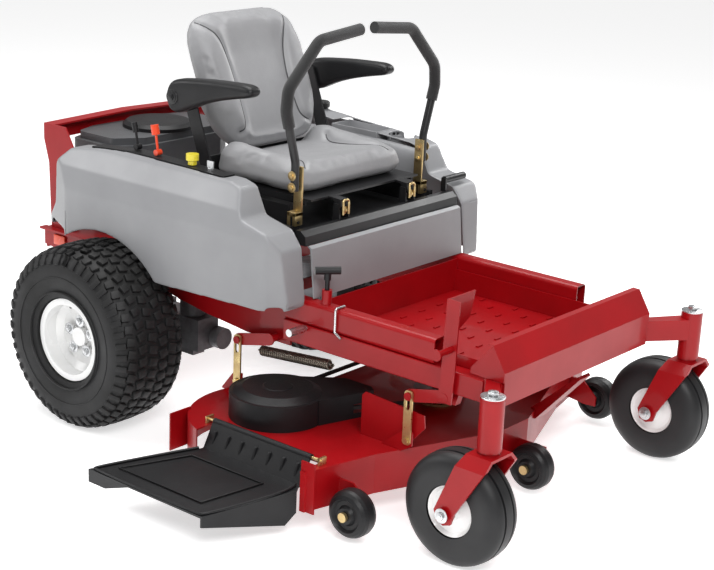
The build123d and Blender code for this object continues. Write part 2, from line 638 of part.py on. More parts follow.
def seat_cushion():
    low, high = CUSHION_Z
    front, rear = CUSHION_Y
    side = prism("X", (-SEAT_HALF, SEAT_HALF),
                 [(front, low + 6), (front, high - 18), (front + 26, high), (-290, high - 26),
                  (rear, high - 30), (rear, low)], 5)
    pad = fillet(side.edges().filter_by(lambda edge: abs(edge.center().X) > SEAT_HALF - 1), 4)
    bolster = prism("X", (SEAT_HALF - BOLSTER, SEAT_HALF - 6),
                    [(front + 14, low + 8), (front + 14, high - 22), (front + 44, high + 2),
                     (-340, high + 12), (-280, high + 20), (-268, high + 8), (-268, low + 8)], 6)
    return pad + bolster + other_side(bolster)


def seat_back():
    """Backrest with its lean, wide at the wings and rounded at the top."""
    side = prism("X", (-BACK_HALF, BACK_HALF),
                 [(-190, 745), (-236, 742), (-262, 762), (-232, 830), (-150, 1010), (-108, 1092),
                  (-80, 1112), (-48, 1114), (-36, 1090), (-66, 1010), (-132, 830), (-160, 746)], 12)
    front = prism("Y", (-300, 0),
                  [(-BACK_HALF, 740), (BACK_HALF, 740), (BACK_HALF, 930), (BACK_HALF - 14, 1040),
                   (BACK_HALF - 64, 1118), (-BACK_HALF + 64, 1118), (-BACK_HALF + 14, 1040),
                   (-BACK_HALF, 930)], 30)
    return side & front


def armrest():
    """Padded arm on a pivot pin beside the backrest."""
    y, z = ARM_PIVOT
    arm = prism("X", ARM_X, [(y + 22, z - 22), (y + 26, z + 18), (y + 6, z + 46), (y - 120, z + 64),
                             (y - 250, z + 66), (y - 282, z + 58), (y - 280, z + 36), (y - 236, z + 28),
                             (y - 60, z - 26), (y - 8, z - 40)], 11)
    return arm - rod((ARM_X[0] - 1, y, z), (ARM_X[1] - 14, y, z), 8 + RUNNING)


# ---- steering levers ----------------------------------------------------------------------------
def lever_point(x, z):
    return (x, LEVER_Y, z)


def lever_rocker():
    """Rocker: cross shaft in the bearing and a tongue up to the side-swing pin."""
    shaft_z = LEVER_KNEE_Z - LEVER_ROCK
    x, y, knee = LEVER_ROOT_X, LEVER_Y, LEVER_KNEE_Z
    body = block((x - 8, x + 8), (y - 12, y + 12), (shaft_z - 9, shaft_z + 8))
    tongue = block((x - 8, x + 8), (y - 5, y + 5), (shaft_z + 8, knee + 11))
    pin = rod((x, y - 17, knee), (x, y + 17, knee), HINGE_PIN_R)
    shaft = rod((x + 8, y, shaft_z), (x + 38, y, shaft_z), LEVER_SHAFT_R)
    return body + tongue + pin + shaft


def lever_arm():
    """Plated bracket that swings out on the rocker's pin, with the bolted lever tube."""
    x, y = LEVER_ROOT_X, LEVER_Y
    face = x - LEVER_TUBE_R - 1
    plate = block((face - 5, face), (y - 13, y + 13), (LEVER_KNEE_Z + 24, 782))
    cheeks = []
    for side in (-1, 1):
        near, far = y + side * 5.5, y + side * 13
        cheeks.append(block((face - 5, x + 10), (near, far), (LEVER_KNEE_Z - 9, LEVER_KNEE_Z + 24)))
    bridge = block((face - 5, x + 10), (y - 13, y + 13), (LEVER_KNEE_Z + 16, LEVER_KNEE_Z + 24))
    bracket = plate + cheeks[0] + cheeks[1] + bridge
    bracket -= rod((x, y - 20, LEVER_KNEE_Z), (x, y + 20, LEVER_KNEE_Z), HINGE_PIN_R + RUNNING)
    bar = bent_bar([lever_point(*spot) for spot in LEVER_BENDS + (BAR_END,)], LEVER_BEND_R, LEVER_TUBE_R)
    bolts = [rod((face, y, z), (x + LEVER_TUBE_R + 4, y, z), 6) for z in (732, 762)]
    return group(bracket, bar + bolts[0] + bolts[1])


def lever_grip():
    """Foam sleeve over the upper part of the lever, closed at its tip."""
    start = (LEVER_BENDS[1][0] * 0.3 + LEVER_BENDS[2][0] * 0.7, LEVER_BENDS[1][1] * 0.3 + LEVER_BENDS[2][1] * 0.7)
    outer = bent_bar([lever_point(*spot) for spot in (start,) + LEVER_BENDS[2:] + (GRIP_TIP,)],
                     LEVER_BEND_R, GRIP_R)
    inner = bent_bar([lever_point(*spot) for spot in LEVER_BENDS + (BAR_END,)], LEVER_BEND_R,
                     LEVER_TUBE_R + SLEEVE_GAP)
    return outer - inner


# ---- deck ---------------------------------------------------------------------------------------
def deck_plan(inset, low, high):
    """Deck outline moved inwards by inset: lobes round the side blades and a pointed front."""
    x, y = SIDE_SPINDLE
    radius = BLADE_R + BLADE_ROOM + DECK_SHEET - inset
    nose = [(px - inset, py + inset) for px, py in DECK_NOSE]
    right = [(x + radius, y), (nose[0][0], nose[0][1]), nose[1], nose[2]]
    front = right + [(-px, py) for px, py in reversed(right)]
    body = prism("Z", (low, high), front + [(-x, y + 80 - inset), (x, y + 80 - inset)])
    for side in (-1, 1):
        body += rod((side * x, y, low), (side * x, y, high), radius)
    return body


def deck_shell():
    """Mowing deck: top, skirt, side outlet, hanger brackets, roller arms and front horn."""
    shell = deck_plan(0, DECK_SKIRT_Z, DECK_TOP) - deck_plan(DECK_SHEET, DECK_SKIRT_Z - 1,
                                                             DECK_TOP - DECK_SHEET)
    shell -= block((-700, OUTLET_EDGE_X), OUTLET_Y, (DECK_SKIRT_Z - 1, DECK_TOP + 1))
    shell -= block((-700, OUTLET_EDGE_X + 20), OUTLET_Y, (DECK_SKIRT_Z - 1, DECK_TOP - DECK_SHEET))
    shell += block((-604, -600), (OUTLET_Y[0] - 40, OUTLET_Y[0] + 2), (DECK_SKIRT_Z, DECK_TOP + 25))
    shell += block((-586, -514), (-428, -424), (DECK_SKIRT_Z + 8, DECK_TOP + 6))
    for centre in spindles():
        shell -= rod((*centre, DECK_TOP - 20), (*centre, DECK_TOP + 1), HOUSING_R + 0.3)
    for side in (-1, 1):
        for pin_y, rake in ((FRONT_PIN_Y, 24), (REAR_PIN_Y, 0)):
            shell += prism("X", (side * (LINK_X[0] - 5), side * LINK_X[0]),
                           [(pin_y - 14, LINK_FOOT_Z - 14 - (0 if rake else 20)), (pin_y - 14, LINK_FOOT_Z + 22),
                            (pin_y + 14, LINK_FOOT_Z + 22), (pin_y + 58 + rake, DECK_TOP - 1),
                            (pin_y + 58 + rake, DECK_TOP - 12 + (0 if rake else 9)), (pin_y + rake - 4, DECK_TOP - 3)])
        shell += prism("X", (side * 325, side * 329), [(-842, DECK_TOP - 2), (-842, 270), (-852, 280),
                                                       (-1036, 268), (-1040, 236), (-976, DECK_TOP - 2)])
        x, y = SIDE_ROLLER
        arm_x = x - ROLLER_WIDTH / 2 - 4
        shell += prism("X", (side * (arm_x - 5), side * arm_x),
                       [(y - 16, ROLLER_Z - 12), (y - 16, ROLLER_Z + 14), (y + 30, 128), (y + 84, 128),
                        (y + 84, ROLLER_Z - 6), (y + 20, ROLLER_Z - 14)])
    x, y = CENTRE_ROLLER
    arm_x = x + ROLLER_WIDTH / 2 + 4
    shell += block((arm_x, arm_x + 5), (y - 16, DECK_NOSE[2][1] + 2), (ROLLER_Z - 14, ROLLER_Z + 46))
    nose = DECK_NOSE[2][1]
    shell += prism("X", (132, 182), [(nose + 40, 150), (nose + 40, DECK_TOP - 1), (nose - 98, 288),
                                     (nose - 104, 282), (nose + 22, 138)])
    return shell


def spindles():
    x, y = SIDE_SPINDLE
    return [(-x, y), CENTRE_SPINDLE, (x, y)]


def belt_covers():
    """Moulded domes over the side pulleys, open towards the belt."""
    x, y = SIDE_SPINDLE
    low, wall = DECK_TOP, 4.0

    def plan(inset, bottom, top):
        cover = rod((x, y, bottom), (x, y, top), COVER_R - inset)
        return cover + prism("Z", (bottom, top), [(x - 20, y - COVER_R + inset), (x - 178, y - 172 + inset),
                                                  (x - 196 + inset, y - 150), (x - 196 + inset, y - 60 - inset),
                                                  (x - 60, y + 100 - inset)])
    outer = plan(0, low, COVER_TOP - 14)
    dome = upright((x, y, 0), [(0, COVER_TOP - 14), (COVER_R - 10, COVER_TOP - 14), (COVER_R - 34, COVER_TOP - 2),
                               (40, COVER_TOP - 2), (36, COVER_TOP), (0, COVER_TOP)])
    cover = outer + dome - plan(wall, low - 1, COVER_TOP - 14 - wall)
    cover -= block((x - 260, x - 190), (y - 160, y - 56), (low - 1, PULLEY_Z[1] + 8))
    cover -= block((x - 200, x - 70), (y - 50, y + 110), (PULLEY_Z[0] - 4, PULLEY_Z[1] + 4))
    cover -= block((x - 188, x - 120), (y - 184, y - 145), (PULLEY_Z[0] - 4, PULLEY_Z[1] + 4))
    return both_sides(cover)


def blade_spindle(centre):
    """Blade, its shaft through the bearings, and the grooved pulley on top."""
    x, y = centre
    low, high = PULLEY_Z
    shaft = rod((x, y, BLADE_Z - 12), (x, y, high + 14), SHAFT_R)
    bar = block((x - BLADE_R, x + BLADE_R), (y - 30, y + 30), (BLADE_Z, BLADE_Z + 5))
    disc = rod((x, y, 0), (x, y, 200), BLADE_R)
    tips = []
    for side in (-1, 1):
        tips.append(prism("X", (x + side * (BLADE_R - 90), x + side * (BLADE_R - 2)),
                          [(y + side * 28, BLADE_Z + 5), (y + side * 30, BLADE_Z + 5),
                           (y + side * 44, BLADE_Z + 22), (y + side * 41, BLADE_Z + 22),
                           (y + side * 24, BLADE_Z + 4)]))
    blade = (bar + tips[0] + tips[1]) & disc
    pulley = upright((x, y, 0), [(0, low), (PULLEY_R, low), (PULLEY_R - 14, (low + high) / 2), (PULLEY_R, high),
                                 (0, high)])
    return blade + shaft + pulley


def deck_hardware():
    """Plated hanger links, chute hinge rod and ears, spindle housings and roller bolts."""
    parts = []
    for pin_y in (FRONT_PIN_Y, REAR_PIN_Y):
        link = prism("X", LINK_X, [(pin_y - LINK_HALF, LINK_FOOT_Z - 12), (pin_y + LINK_HALF, LINK_FOOT_Z - 12),
                                   (pin_y + LINK_HALF, LIFT_PIN_Z + 14), (pin_y - LINK_HALF, LIFT_PIN_Z + 14)],
                     9)
        slot = LIFT_PIN_R + RUNNING
        link -= rod((300, pin_y, LIFT_PIN_Z), (400, pin_y, LIFT_PIN_Z), slot)
        link -= rod((300, pin_y, LIFT_PIN_Z - 30), (400, pin_y, LIFT_PIN_Z - 30), slot)
        link -= block((300, 400), (pin_y - slot, pin_y + slot), (LIFT_PIN_Z - 30, LIFT_PIN_Z))
        bolt = rod((LINK_X[1], pin_y, LINK_FOOT_Z), (LINK_X[1] + 6, pin_y, LINK_FOOT_Z), 8)
        parts.append(both_sides(link + bolt))
    x, z = CHUTE_HINGE
    ends = (OUTLET_Y[0] - 10, OUTLET_Y[1] + 10)
    rod_piece = rod((x, ends[0] - 4, z), (x, ends[1] + 4, z), CHUTE_PIN_R)
    for y in ends:
        rod_piece += block((x - 8, x + 18), (y - 3, y + 3), (DECK_TOP, z + 7))
    parts.append(rod_piece)
    for centre in spindles():
        parts.append(upright((*centre, 0), [(SHAFT_R + RUNNING, 112), (HOUSING_R - 6, 112), (HOUSING_R, 130),
                                            (HOUSING_R, DECK_TOP), (54, DECK_TOP), (54, DECK_TOP + 6),
                                            (26, DECK_TOP + 14), (SHAFT_R + RUNNING, DECK_TOP + 14)]))
    for side, (rx, ry) in ((-1, SIDE_ROLLER), (1, SIDE_ROLLER), (-1, (-CENTRE_ROLLER[0], CENTRE_ROLLER[1]))):
        inner, outer = rx - ROLLER_WIDTH / 2 - 4, rx + ROLLER_WIDTH / 2 + 2
        bolt = rod((side * inner, ry, ROLLER_Z), (side * outer, ry, ROLLER_Z), 8)
        parts.append(bolt + rod((side * outer, ry, ROLLER_Z), (side * (outer + 8), ry, ROLLER_Z), 12))
    return group(*parts)


def deck_belt():
    """Belt loop round the three spindle pulleys."""
    middle = sum(PULLEY_Z) / 2

    def loop(radius):
        edges = []
        for x, y in spindles():
            edges += (Pos(x, y) * Circle(radius)).edges()
        return make_hull(edges)
    inner = PULLEY_R - 4
    band = extrude(loop(inner + 9), 8) - extrude(loop(inner), 8)
    belt = Pos(0, 0, middle - 4) * band
    for x, y in spindles():
        belt -= rod((x, y, PULLEY_Z[0] - 1), (x, y, PULLEY_Z[1] + 1), PULLEY_R + 0.3)
    return belt


def roller(centre):
    x, y = centre
    half = ROLLER_WIDTH / 2
    bore = 8 + RUNNING
    section = [(half, bore), (half, 20), (half - 9, 26), (half - 9, ROLLER_R - 24), (half - 1, ROLLER_R - 18),
               (half - 4, ROLLER_R - 9), (half - 11, ROLLER_R - 3), (half - 20, ROLLER_R)]
    return turned((x, y, ROLLER_Z), section + [(-px, pr) for px, pr in reversed(section)])


def chute():
    """Moulded discharge deflector hinged beside the deck's outlet."""
    x, z = CHUTE_HINGE
    wall, reach = CHUTE_WALL, CHUTE_REACH
    fold_x, fold_z, edge_z = x - 40, z - 60, z - 82
    top = [(x - 3, z + 7), (fold_x, fold_z), (-reach, edge_z)]
    under = [(-reach, edge_z - wall), (fold_x + 1.5, fold_z - wall), (x + 1.5, z + 4.5)]
    plan = prism("Z", (0, 300), [(x + 8, CHUTE_Y[1]), (fold_x - 4, CHUTE_Y[1]), (-reach, -410),
                                 (-reach, -800), (-612, -884), (fold_x - 4, CHUTE_Y[0]), (x + 8, CHUTE_Y[0])])
    body = prism("Y", (-900, -400), top + under) & plan
    barrel = rod((x, CHUTE_Y[0], z), (x, CHUTE_Y[1], z), 8)
    lip = prism("X", (-reach, -reach + wall), [(-410, edge_z - 2), (-410, edge_z - 34), (-470, edge_z - 34),
                                               (-560, edge_z - 2)])
    front = prism("Z", (20, 130), [(-reach, -800), (-612, -884), (-612, -884 + wall), (-reach, -800 + wall)])
    front &= prism("Y", (-900, -780), [(-reach, edge_z - 2), (-reach, edge_z - 28), (-640, 28), (-612, 56),
                                       (-612, fold_z - 8)])
    return body + barrel + lip + front - rod((x, -900, z), (x, -500, z), CHUTE_PIN_R + RUNNING)


# ---- deck lift ----------------------------------------------------------------------------------
def strap(span, start, end, half):
    """Flat link with round ends between two (y, z) points."""
    (y0, z0), (y1, z1) = start, end
    length = math.hypot(y1 - y0, z1 - z0)
    across = (-(z1 - z0) / length * half, (y1 - y0) / length * half)
    bar = prism("X", span, [(y0 + across[0], z0 + across[1]), (y1 + across[0], z1 + across[1]),
                            (y1 - across[0], z1 - across[1]), (y0 - across[0], z0 - across[1])])
    ends = [rod((span[0], y, z), (span[1], y, z), half) for y, z in (start, end)]
    return bar + ends[0] + ends[1]


def lift_shaft(pin_y, right_end):
    """Cross shaft with an arm and link pin at each side."""
    y, z = lift_pivot(pin_y)
    shaft = rod((-right_end, y, z), (ARM_PLATE_X[1], y, z), LIFT_SHAFT_R)
    for side in (-1, 1):
        inner, outer = side * ARM_PLATE_X[0], side * ARM_PLATE_X[1]
        shaft += strap((inner, outer), (y, z), (pin_y, LIFT_PIN_Z), 16)
        shaft += rod((outer, pin_y, LIFT_PIN_Z), (side * (LINK_X[1] + 1), pin_y, LIFT_PIN_Z), LIFT_PIN_R)
        shaft += rod((side * (LINK_X[1] + 1), pin_y, LIFT_PIN_Z), (side * (LINK_X[1] + 5), pin_y, LIFT_PIN_Z),
                     LIFT_PIN_R + 4)
    return shaft


def lift_pedal():
    """Foot pedal on the end of the front shaft: upright flange, tread pad and outer peg."""
    y, z = lift_pivot(FRONT_PIN_Y)
    inner, outer = PEDAL_X
    flange = prism("X", (-outer, -inner), [(y - 20, z - 14), (y + 20, z - 14), (y + 14, z + 60), (y + 8, 582),
                                           (y - 29, 582), (y - 26, z + 60)])
    flange -= rod((-outer - 1, y, z), (-inner + 1, y, z), LIFT_SHAFT_R + RUNNING)
    pad = prism("Y", (y + 4, y + 8), [(-outer, 470), (-outer, 582), (-236, 582), (-252, 520)])
    peg = rod((-outer, y - 12, 462), (-400, y - 12, 462), 8) + rod((-400, y - 12, 462), (-404, y - 12, 462), 14)
    return flange + pad + peg


def lift_spring():
    """Extension spring beside the deck, as its envelope with an eye at each end."""
    start, end = Vector(-268, -440, 268), Vector(-268, -690, 292)
    return rod(tuple(start), tuple(end), 12)


# ---- small parts --------------------------------------------------------------------------------
def side_pegs():
    """Peg on the right rail and the wire clip over the upper tube."""
    peg = rod((-RAIL_X[1], -650, 398), (-RAIL_X[1] - 62, -650, 398), 7)
    peg += rod((-RAIL_X[1] - 8, -650, 398), (-RAIL_X[1] - 62, -650, 398), 10)
    side = -RAIL_X[1] - 5
    top = UPPER_RAIL_Z[1] + 3.5
    clip = bent_bar([(-303, -752, top), (side, -752, top), (side, -752, 412), (side, -772, 400)], 6, 3)
    return group(peg, clip)


def height_pin():
    """T-handled height pin in its socket."""
    x, y = -(RAIL_X[0] + RAIL_X[1]) / 2, -700
    top = UPPER_RAIL_Z[1] + 36
    pin = rod((x, y, top - 40), (x, y, top + 30), 6)
    boss = rod((x, y, top + 26), (x, y, top + 44), 9)
    bar = rod((x - 25, y + 21, top + 50), (x + 25, y - 21, top + 50), 10)
    return pin + boss + bar


def hand_lever(y, height, knob_r):
    """Engine control: round knob on a cranked wire, on a cross barrel over the console."""
    z = console_top(y) + 9
    x = -KNOB_X
    barrel = rod((x - 9, y, z), (x + 9, y, z), 8)
    wire = rod((x, y, z), (x, y + 10, z + height), 3.5)
    grip = rod((x, y + 8, z + height - 12), (x, y + 14, z + height + 14), knob_r)
    return barrel + wire + grip


def push_knob():
    y = PTO_Y
    z = console_top(y)
    stem = rod((-KNOB_X, y, z - 20), (-KNOB_X, y, z + 8), 5)
    return stem + upright((-KNOB_X, y, 0), [(0, z + 2), (12, z + 2), (12, z + 12), (17, z + 14), (17, z + 30),
                                            (0, z + 30)])


def ignition_key():
    z = console_top(KEY_Y)
    barrel = rod((-KNOB_X, KEY_Y, z - 14), (-KNOB_X, KEY_Y, z + 5), 7)
    return barrel + block((-KNOB_X - 1.5, -KNOB_X + 1.5), (KEY_Y - 11, KEY_Y + 11), (z + 5, z + 24))


def fuel_cap():
    top = FILLER_TOP
    return upright((*FILLER, 0), [(0, top + 0.4), (26, top + 0.4), (27, top + 4), (27, top + 14), (23, top + 18),
                                  (0, top + 18)])


def build():
    """All nodes by name, in the layout frame."""
    nodes = {
        "lower_rails": lower_rails(), "upper_rails": upper_rails(), "front_axle": front_axle(),
        "rear_frame": rear_frame(), "foot_pan": foot_pan(), "kick_panel": kick_panel(),
        "rear_guard": rear_guard(), "fender_right": fender_right(), "fender_left": fender_left(),
        "front_panel": front_panel(), "seat_support": seat_support(), "console_plate": console_holes(),
        "engine_block": engine_block(), "engine_shroud": engine_shroud(), "fan_screen": fan_screen(),
        "muffler": muffler(), "transaxles": transaxles(), "side_pegs": side_pegs(),
        "lift_spring": lift_spring(), "seat_pan": seat_pan(), "seat_cushion": seat_cushion(),
        "seat_back": seat_back(), "deck_shell": deck_shell(), "belt_covers": belt_covers(),
        "deck_hardware": deck_hardware(), "deck_belt": deck_belt(), "chute": chute(),
        "lift_front": lift_shaft(FRONT_PIN_Y, PEDAL_X[1] + 1), "lift_pedal": lift_pedal(),
        "lift_rear": lift_shaft(REAR_PIN_Y, ARM_PLATE_X[1]), "height_pin": height_pin(),
        "choke": hand_lever(CHOKE_Y, 50, 8), "throttle": hand_lever(THROTTLE_Y, 58, 11),
        "blade_knob": push_knob(), "ignition_key": ignition_key(), "fuel_cap": fuel_cap(),
    }
    for name, centre in zip(("right", "centre", "left"), spindles()):
        nodes["blade_" + name] = blade_spindle(centre)
    rollers = {"right": (-SIDE_ROLLER[0], SIDE_ROLLER[1]), "centre": CENTRE_ROLLER, "left": SIDE_ROLLER}
    for name, centre in rollers.items():
        nodes["roller_" + name] = roller(centre)
    pairs = {"drive_tyre": drive_tyre(), "drive_rim": drive_rim(), "caster_fork": caster_fork(),
             "caster_tyre": caster_tyre(), "caster_rim": caster_rim(), "armrest": armrest(),
             "lever_rocker": lever_rocker(), "lever_arm": lever_arm(), "lever_grip": lever_grip()}
    for name, piece in pairs.items():
        nodes[name + "_left"] = piece
        nodes[name + "_right"] = other_side(piece)
    return nodes


def console_holes():
    plate = console_plate()
    plate -= rod((-KNOB_X, PTO_Y, 700), (-KNOB_X, PTO_Y, 800), 5 + RUNNING)
    return plate - rod((-KNOB_X, KEY_Y, 700), (-KNOB_X, KEY_Y, 800), 7 + RUNNING)


# Origin: under the middle of the whole machine's box.
DECK_SIDE = SIDE_SPINDLE[0] + BLADE_R + BLADE_ROOM + DECK_SHEET
MACHINE_X = (-CHUTE_REACH, DECK_SIDE)
MACHINE_Y = (CASTER_PIVOT_Y + CASTER_TRAIL - CASTER_TYRE_R, REAR_END_Y + 52)
ORIGIN = (sum(MACHINE_X) / 2, sum(MACHINE_Y) / 2)


if __name__ == "__main__":
    os.makedirs("parts", exist_ok=True)
    for name, piece in build().items():
        placed = Pos(-ORIGIN[0], -ORIGIN[1], 0) * piece
        export_step(placed, f"parts/{name}.step")
    print("origin", ORIGIN)
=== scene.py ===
"""Looks of the zero turn mower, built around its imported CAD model. Lengths are metres."""
import json
import math

import bpy
from mathutils import Matrix, Vector


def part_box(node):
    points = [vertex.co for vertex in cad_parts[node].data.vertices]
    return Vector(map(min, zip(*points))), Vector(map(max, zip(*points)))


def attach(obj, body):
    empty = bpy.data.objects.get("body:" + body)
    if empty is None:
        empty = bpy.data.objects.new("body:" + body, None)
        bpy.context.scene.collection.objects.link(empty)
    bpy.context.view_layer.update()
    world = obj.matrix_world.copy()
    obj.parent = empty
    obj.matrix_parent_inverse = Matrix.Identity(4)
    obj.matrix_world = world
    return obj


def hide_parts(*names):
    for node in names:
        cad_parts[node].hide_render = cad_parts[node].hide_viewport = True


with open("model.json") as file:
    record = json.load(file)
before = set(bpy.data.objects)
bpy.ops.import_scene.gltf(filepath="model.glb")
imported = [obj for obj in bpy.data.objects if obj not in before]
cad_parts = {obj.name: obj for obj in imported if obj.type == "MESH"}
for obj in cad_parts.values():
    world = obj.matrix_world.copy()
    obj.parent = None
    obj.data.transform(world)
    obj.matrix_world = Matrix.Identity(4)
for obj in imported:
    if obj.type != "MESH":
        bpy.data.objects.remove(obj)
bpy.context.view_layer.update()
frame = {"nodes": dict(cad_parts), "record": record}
nodes = frame["nodes"]


def middle(node):
    low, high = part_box(node)
    return (low + high) / 2


# the machine's own axes: the rear axle on its centre plane, at ground level
AXLE_LEFT, AXLE_RIGHT = middle("drive_rim_left"), middle("drive_rim_right")
HOME = Vector(((AXLE_LEFT.x + AXLE_RIGHT.x) / 2, middle("drive_tyre_left").y, 0.0))


def place(x, y, z):
    """A point given in the machine's own millimetres, in the row frame."""
    return HOME + Vector((x, y, z)) / 1000.0


# ---- camera, floor and light --------------------------------------------------------------------
YAW, PITCH, ROLL = 0.879, 0.316, 0.041
EYE = place(-3307.1, -3227.0, 1728.0)
LENS = 82.87
FRAMING = (0.0236, 0.0391)


def make_camera():
    ahead = Vector((math.sin(YAW) * math.cos(PITCH), math.cos(YAW) * math.cos(PITCH), -math.sin(PITCH)))
    level = ahead.cross(Vector((0, 0, 1))).normalized()
    above = level.cross(ahead)
    right = level * math.cos(ROLL) + above * math.sin(ROLL)
    up = above * math.cos(ROLL) - level * math.sin(ROLL)
    data = bpy.data.cameras.new("camera")
    data.lens = LENS
    data.sensor_width = 36.0
    data.sensor_fit = "HORIZONTAL"
    data.shift_x, data.shift_y = FRAMING
    data.clip_end = 60.0
    camera = bpy.data.objects.new("camera", data)
    bpy.context.scene.collection.objects.link(camera)
    turn = Matrix((right, up, -ahead)).transposed().to_4x4()
    camera.matrix_world = Matrix.Translation(EYE) @ turn
    bpy.context.scene.camera = camera


def soft_box(name, spot, target, size, watts, tint=(1.0, 1.0, 1.0)):
    data = bpy.data.lights.new(name, "AREA")
    data.shape = "RECTANGLE"
    data.size, data.size_y = size
    data.energy = watts
    data.color = tint
    lamp = bpy.data.objects.new(name, data)
    bpy.context.scene.collection.objects.link(lamp)
    lamp.location = spot
    lamp.rotation_euler = (Vector(target) - Vector(spot)).to_track_quat("-Z", "Y").to_euler()


def make_studio():
    world = bpy.data.worlds.new("studio")
    world.use_nodes = True
    sky = world.node_tree.nodes["Background"]
    sky.inputs["Color"].default_value = (1.0, 1.0, 1.0, 1.0)
    sky.inputs["Strength"].default_value = 0.3
    bpy.context.scene.world = world
    bpy.context.scene.view_settings.view_transform = "Standard"
    heart = HOME + Vector((0, -0.45, 0.45))
    soft_box("key_light", HOME + Vector((-2.6, -3.4, 3.4)), heart, (2.2, 1.6), 135.0)
    soft_box("top_light", HOME + Vector((0.2, 0.3, 4.2)), heart, (3.0, 3.0), 150.0)
    soft_box("side_light", HOME + Vector((3.4, -0.8, 2.2)), heart, (1.2, 2.2), 50.0)
    soft_box("rear_light", HOME + Vector((-2.6, 3.0, 2.6)), heart, (2.2, 1.4), 50.0)
    bpy.ops.object.select_all(action="DESELECT")
    bpy.ops.mesh.primitive_plane_add(size=40.0, location=(0, 0, -0.0005))
    floor = bpy.context.active_object
    floor.name = "floor"
    paint = bpy.data.materials.new("floor_paper")
    paint.use_nodes = True
    shader = paint.node_tree.nodes["Principled BSDF"]
    shader.inputs["Base Color"].default_value = (0.9, 0.9, 0.9, 1.0)
    shader.inputs["Roughness"].default_value = 0.6
    shader.inputs["Emission Color"].default_value = (1.0, 1.0, 1.0, 1.0)
    shader.inputs["Emission Strength"].default_value = 0.6
    floor.data.materials.append(paint)


make_camera()
make_studio()


# ---- shared surface effects ---------------------------------------------------------------------
def new_effect(name, inputs, outputs):
    """An empty node group with its named sockets, and the nodes at its two ends."""
    group = bpy.data.node_groups.new(name, "ShaderNodeTree")
    for label, kind, value in inputs:
        socket = group.interface.new_socket(label, in_out="INPUT", socket_type=kind)
        if value is not None:
            socket.default_value = value
    for label, kind in outputs:
        group.interface.new_socket(label, in_out="OUTPUT", socket_type=kind)
    return group, group.nodes.new("NodeGroupInput"), group.nodes.new("NodeGroupOutput")


def add_node(tree, kind, **values):
    node = tree.nodes.new(kind)
    for label, value in values.items():
        setattr(node, label, value)
    return node


def make_colour_drift():
    """Slow change between two colours, so that a moulded or painted face isn't one flat tone."""
    group, start, end = new_effect(
        "colour_drift",
        [("Light", "NodeSocketColor", (1, 1, 1, 1)), ("Dark", "NodeSocketColor", (0, 0, 0, 1)),
         ("Scale", "NodeSocketFloat", 6.0)],
        [("Color", "NodeSocketColor"), ("Value", "NodeSocketFloat")])
    where = add_node(group, "ShaderNodeTexCoord")
    noise = add_node(group, "ShaderNodeTexNoise")
    noise.inputs["Detail"].default_value = 5.0
    noise.inputs["Roughness"].default_value = 0.6
    ramp = add_node(group, "ShaderNodeMapRange")
    ramp.inputs["From Min"].default_value = 0.32
    ramp.inputs["From Max"].default_value = 0.68
    mix = add_node(group, "ShaderNodeMix", data_type="RGBA")
    group.links.new(where.outputs["Object"], noise.inputs["Vector"])
    group.links.new(start.outputs["Scale"], noise.inputs["Scale"])
    group.links.new(noise.outputs["Fac"], ramp.inputs["Value"])
    group.links.new(ramp.outputs["Result"], mix.inputs["Factor"])
    group.links.new(start.outputs["Light"], mix.inputs["A"])
    group.links.new(start.outputs["Dark"], mix.inputs["B"])
    group.links.new(mix.outputs["Result"], end.inputs["Color"])
    group.links.new(ramp.outputs["Result"], end.inputs["Value"])
    return group


def make_dust():
    """Mask of the fine dust that settles on faces that look up."""
    group, start, end = new_effect(
        "settled_dust", [("Amount", "NodeSocketFloat", 0.3)], [("Mask", "NodeSocketFloat")])
    shape = add_node(group, "ShaderNodeNewGeometry")
    split = add_node(group, "ShaderNodeSeparateXYZ")
    noise = add_node(group, "ShaderNodeTexNoise")
    noise.inputs["Scale"].default_value = 34.0
    noise.inputs["Detail"].default_value = 8.0
    where = add_node(group, "ShaderNodeTexCoord")
    facing = add_node(group, "ShaderNodeMapRange")
    facing.inputs["From Min"].default_value = 0.2
    patch = add_node(group, "ShaderNodeMath", operation="MULTIPLY")
    scaled = add_node(group, "ShaderNodeMath", operation="MULTIPLY", use_clamp=True)
    group.links.new(shape.outputs["Normal"], split.inputs["Vector"])
    group.links.new(split.outputs["Z"], facing.inputs["Value"])
    group.links.new(where.outputs["Object"], noise.inputs["Vector"])
    group.links.new(facing.outputs["Result"], patch.inputs[0])
    group.links.new(noise.outputs["Fac"], patch.inputs[1])
    group.links.new(patch.outputs["Value"], scaled.inputs[0])
    group.links.new(start.outputs["Amount"], scaled.inputs[1])
    group.links.new(scaled.outputs["Value"], end.inputs["Mask"])
    return group


